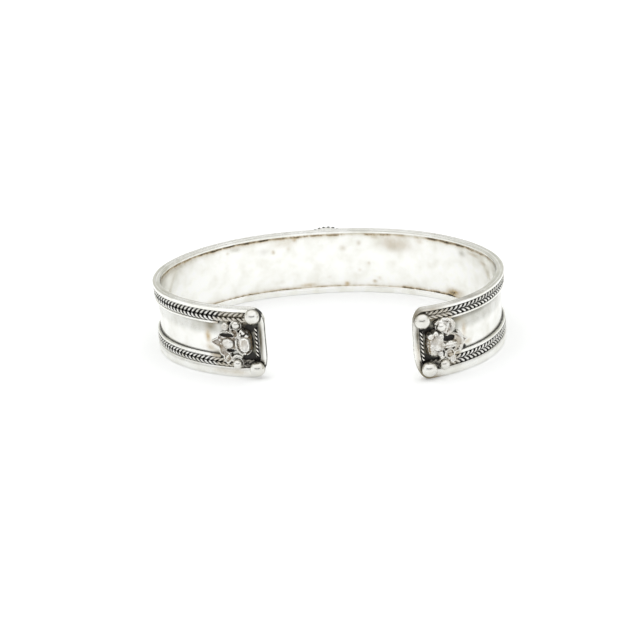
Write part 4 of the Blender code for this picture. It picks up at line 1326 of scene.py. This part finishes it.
# The paper gives off a little light of its own though it is no lamp: painted light that fills in the shadows
# round the cuff
PAPER_GLOW = 0.2
FIBRE_MM = 4
PAPER = linear("#F1F2F2")
PALE_PAPER = linear("#F4F5F5")
bpy.ops.mesh.primitive_plane_add(size=PAPER_SIZE, location=(0, 0, -PAPER_BELOW))
paper = bpy.context.object
paper.name = "white_paper"
paper_finish = bpy.data.materials.new("matt_white_paper")
paper_finish.use_nodes = True
tree = paper_finish.node_tree
shader = tree.nodes["Principled BSDF"]
place = add(tree, "TexCoord").outputs["Object"]
fibre = add(tree, "TexNoise", {"Vector": place, "Scale": 1 / (FIBRE_MM * MM), "Detail": 3.0}).outputs["Fac"]
colour = add(tree, "Mix", {0: fibre, 6: PAPER, 7: PALE_PAPER}, data_type="RGBA").outputs[2]
tree.links.new(colour, shader.inputs["Base Color"])
shader.inputs["Roughness"].default_value = 0.9
shader.inputs["Specular IOR Level"].default_value = 0.1
shader.inputs["Emission Color"].default_value = (1, 1, 1, 1)
shader.inputs["Emission Strength"].default_value = PAPER_GLOW
paper.data.materials.append(paper_finish)
paper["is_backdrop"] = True

# %% The room
ROOM_LIGHT = 1.07
# The wall's colour by the sine of the angle above the table
ROOM_BANDS = ((0.0, "#FFFFFF"), (0.2, "#FFFFFD"), (0.29, "#CFCFC5"), (0.5, "#CFCFC5"), (0.62, "#FFFFFF"))
# The dash: the sine of its angle above the table with the half of its height, and its grey
DASH_UP = 0.4
DASH_HALF = 0.11
DASH_GREY = 0.12

room = bpy.data.worlds.new("soft_room")
bpy.context.scene.world = room
room.use_nodes = True
tree = room.node_tree
way = add(tree, "TexCoord").outputs["Generated"]
axes = add(tree, "SeparateXYZ", {"Vector": way})
wall = add(tree, "ValToRGB", {"Fac": axes.outputs["Z"]})
wall.color_ramp.interpolation = "EASE"
for number, (share, code) in enumerate(ROOM_BANDS):
    if number > 1:
        wall.color_ramp.elements.new(share)
    wall.color_ramp.elements[number].position = share
    wall.color_ramp.elements[number].color = linear(code)
behind = add(tree, "MapRange", {"Value": axes.outputs["Y"], "From Min": -0.1, "From Max": 0.3},
             interpolation_type="SMOOTHSTEP").outputs[0]
front = add(tree, "Mix", {0: behind, 6: (1, 1, 1, 1), 7: wall.outputs["Color"]}, data_type="RGBA").outputs[2]
aside = add(tree, "Math", {0: axes.outputs["X"]}, operation="ABSOLUTE").outputs[0]
narrow = add(tree, "MapRange", {"Value": aside, "From Min": 0.55, "From Max": 0.75, "To Min": 1.0,
                                "To Max": 0.0}, interpolation_type="SMOOTHSTEP").outputs[0]
level = add(tree, "Math", {0: axes.outputs["Z"], 1: DASH_UP, 2: DASH_HALF}, operation="COMPARE").outputs[0]
toward = add(tree, "Math", {0: axes.outputs["Y"], 1: -0.4}, operation="LESS_THAN").outputs[0]
dash = add(tree, "Math", {0: narrow, 1: level}, operation="MULTIPLY").outputs[0]
dash = add(tree, "Math", {0: dash, 1: toward}, operation="MULTIPLY").outputs[0]
grey = (DASH_GREY, DASH_GREY, DASH_GREY, 1)
seen = add(tree, "Mix", {0: dash, 6: front, 7: grey}, data_type="RGBA").outputs[2]
high = add(tree, "MapRange", {"Value": axes.outputs["Z"], "From Min": 0.55, "From Max": 0.9, "To Min": 1.0,
                              "To Max": 1.15}, interpolation_type="SMOOTHSTEP").outputs[0]
tree.links.new(seen, tree.nodes["Background"].inputs["Color"])
strength = add(tree, "Math", {0: high, 1: ROOM_LIGHT}, operation="MULTIPLY").outputs[0]
tree.links.new(strength, tree.nodes["Background"].inputs["Strength"])
print("nodes in the room:", len(tree.nodes))

# %% [markdown]
# ## The camera
#
# The camera stands where the photo was taken from, found by matching the band's edges: about 32 cm
# away, 19.65 degrees above the table, a little to the right of the opening, and rolled by 4.5
# degrees. Its axes are worked out from those angles.

# %% The camera
ELEVATION, ROLL, YAW = (math.radians(a) for a in (19.65, 4.49, -4.48))
DISTANCE = 321 * MM
FOCAL_PIXELS = 1800
IMAGE_PIXELS = 640
AIM = Vector((-1.794, -1.90, 2.9)) * MM

sideways = Vector((math.cos(YAW), -math.sin(YAW), 0))
ahead = Vector((math.sin(YAW), math.cos(YAW), 0))
look = ahead * math.cos(ELEVATION) - Vector((0, 0, math.sin(ELEVATION)))
level_up = ahead * math.sin(ELEVATION) + Vector((0, 0, math.cos(ELEVATION)))
rolled_right = sideways * math.cos(ROLL) - level_up * math.sin(ROLL)
rolled_up = sideways * math.sin(ROLL) + level_up * math.cos(ROLL)
data = bpy.data.cameras.new("camera")
data.sensor_width = 36
data.lens = data.sensor_width * FOCAL_PIXELS / IMAGE_PIXELS
data.clip_start, data.clip_end = 0.01, 20
camera = bpy.data.objects.new("camera", data)
facing = Matrix((rolled_right, rolled_up, -look)).transposed().to_4x4()
camera.matrix_world = Matrix.Translation(AIM - look * DISTANCE) @ facing
bpy.context.scene.collection.objects.link(camera)
bpy.context.scene.camera = camera
bpy.context.scene.view_settings.view_transform = "Standard"
print("lens in mm:", data.lens)

# %% [markdown]
# ## Keeping the size
#
# The dressed cuff has to stay inside the CAD box, so its own box is printed.

# %% The sizes
low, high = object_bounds()
print("visual box in mm:", [round(v / MM, 2) for v in (*low, *high)])
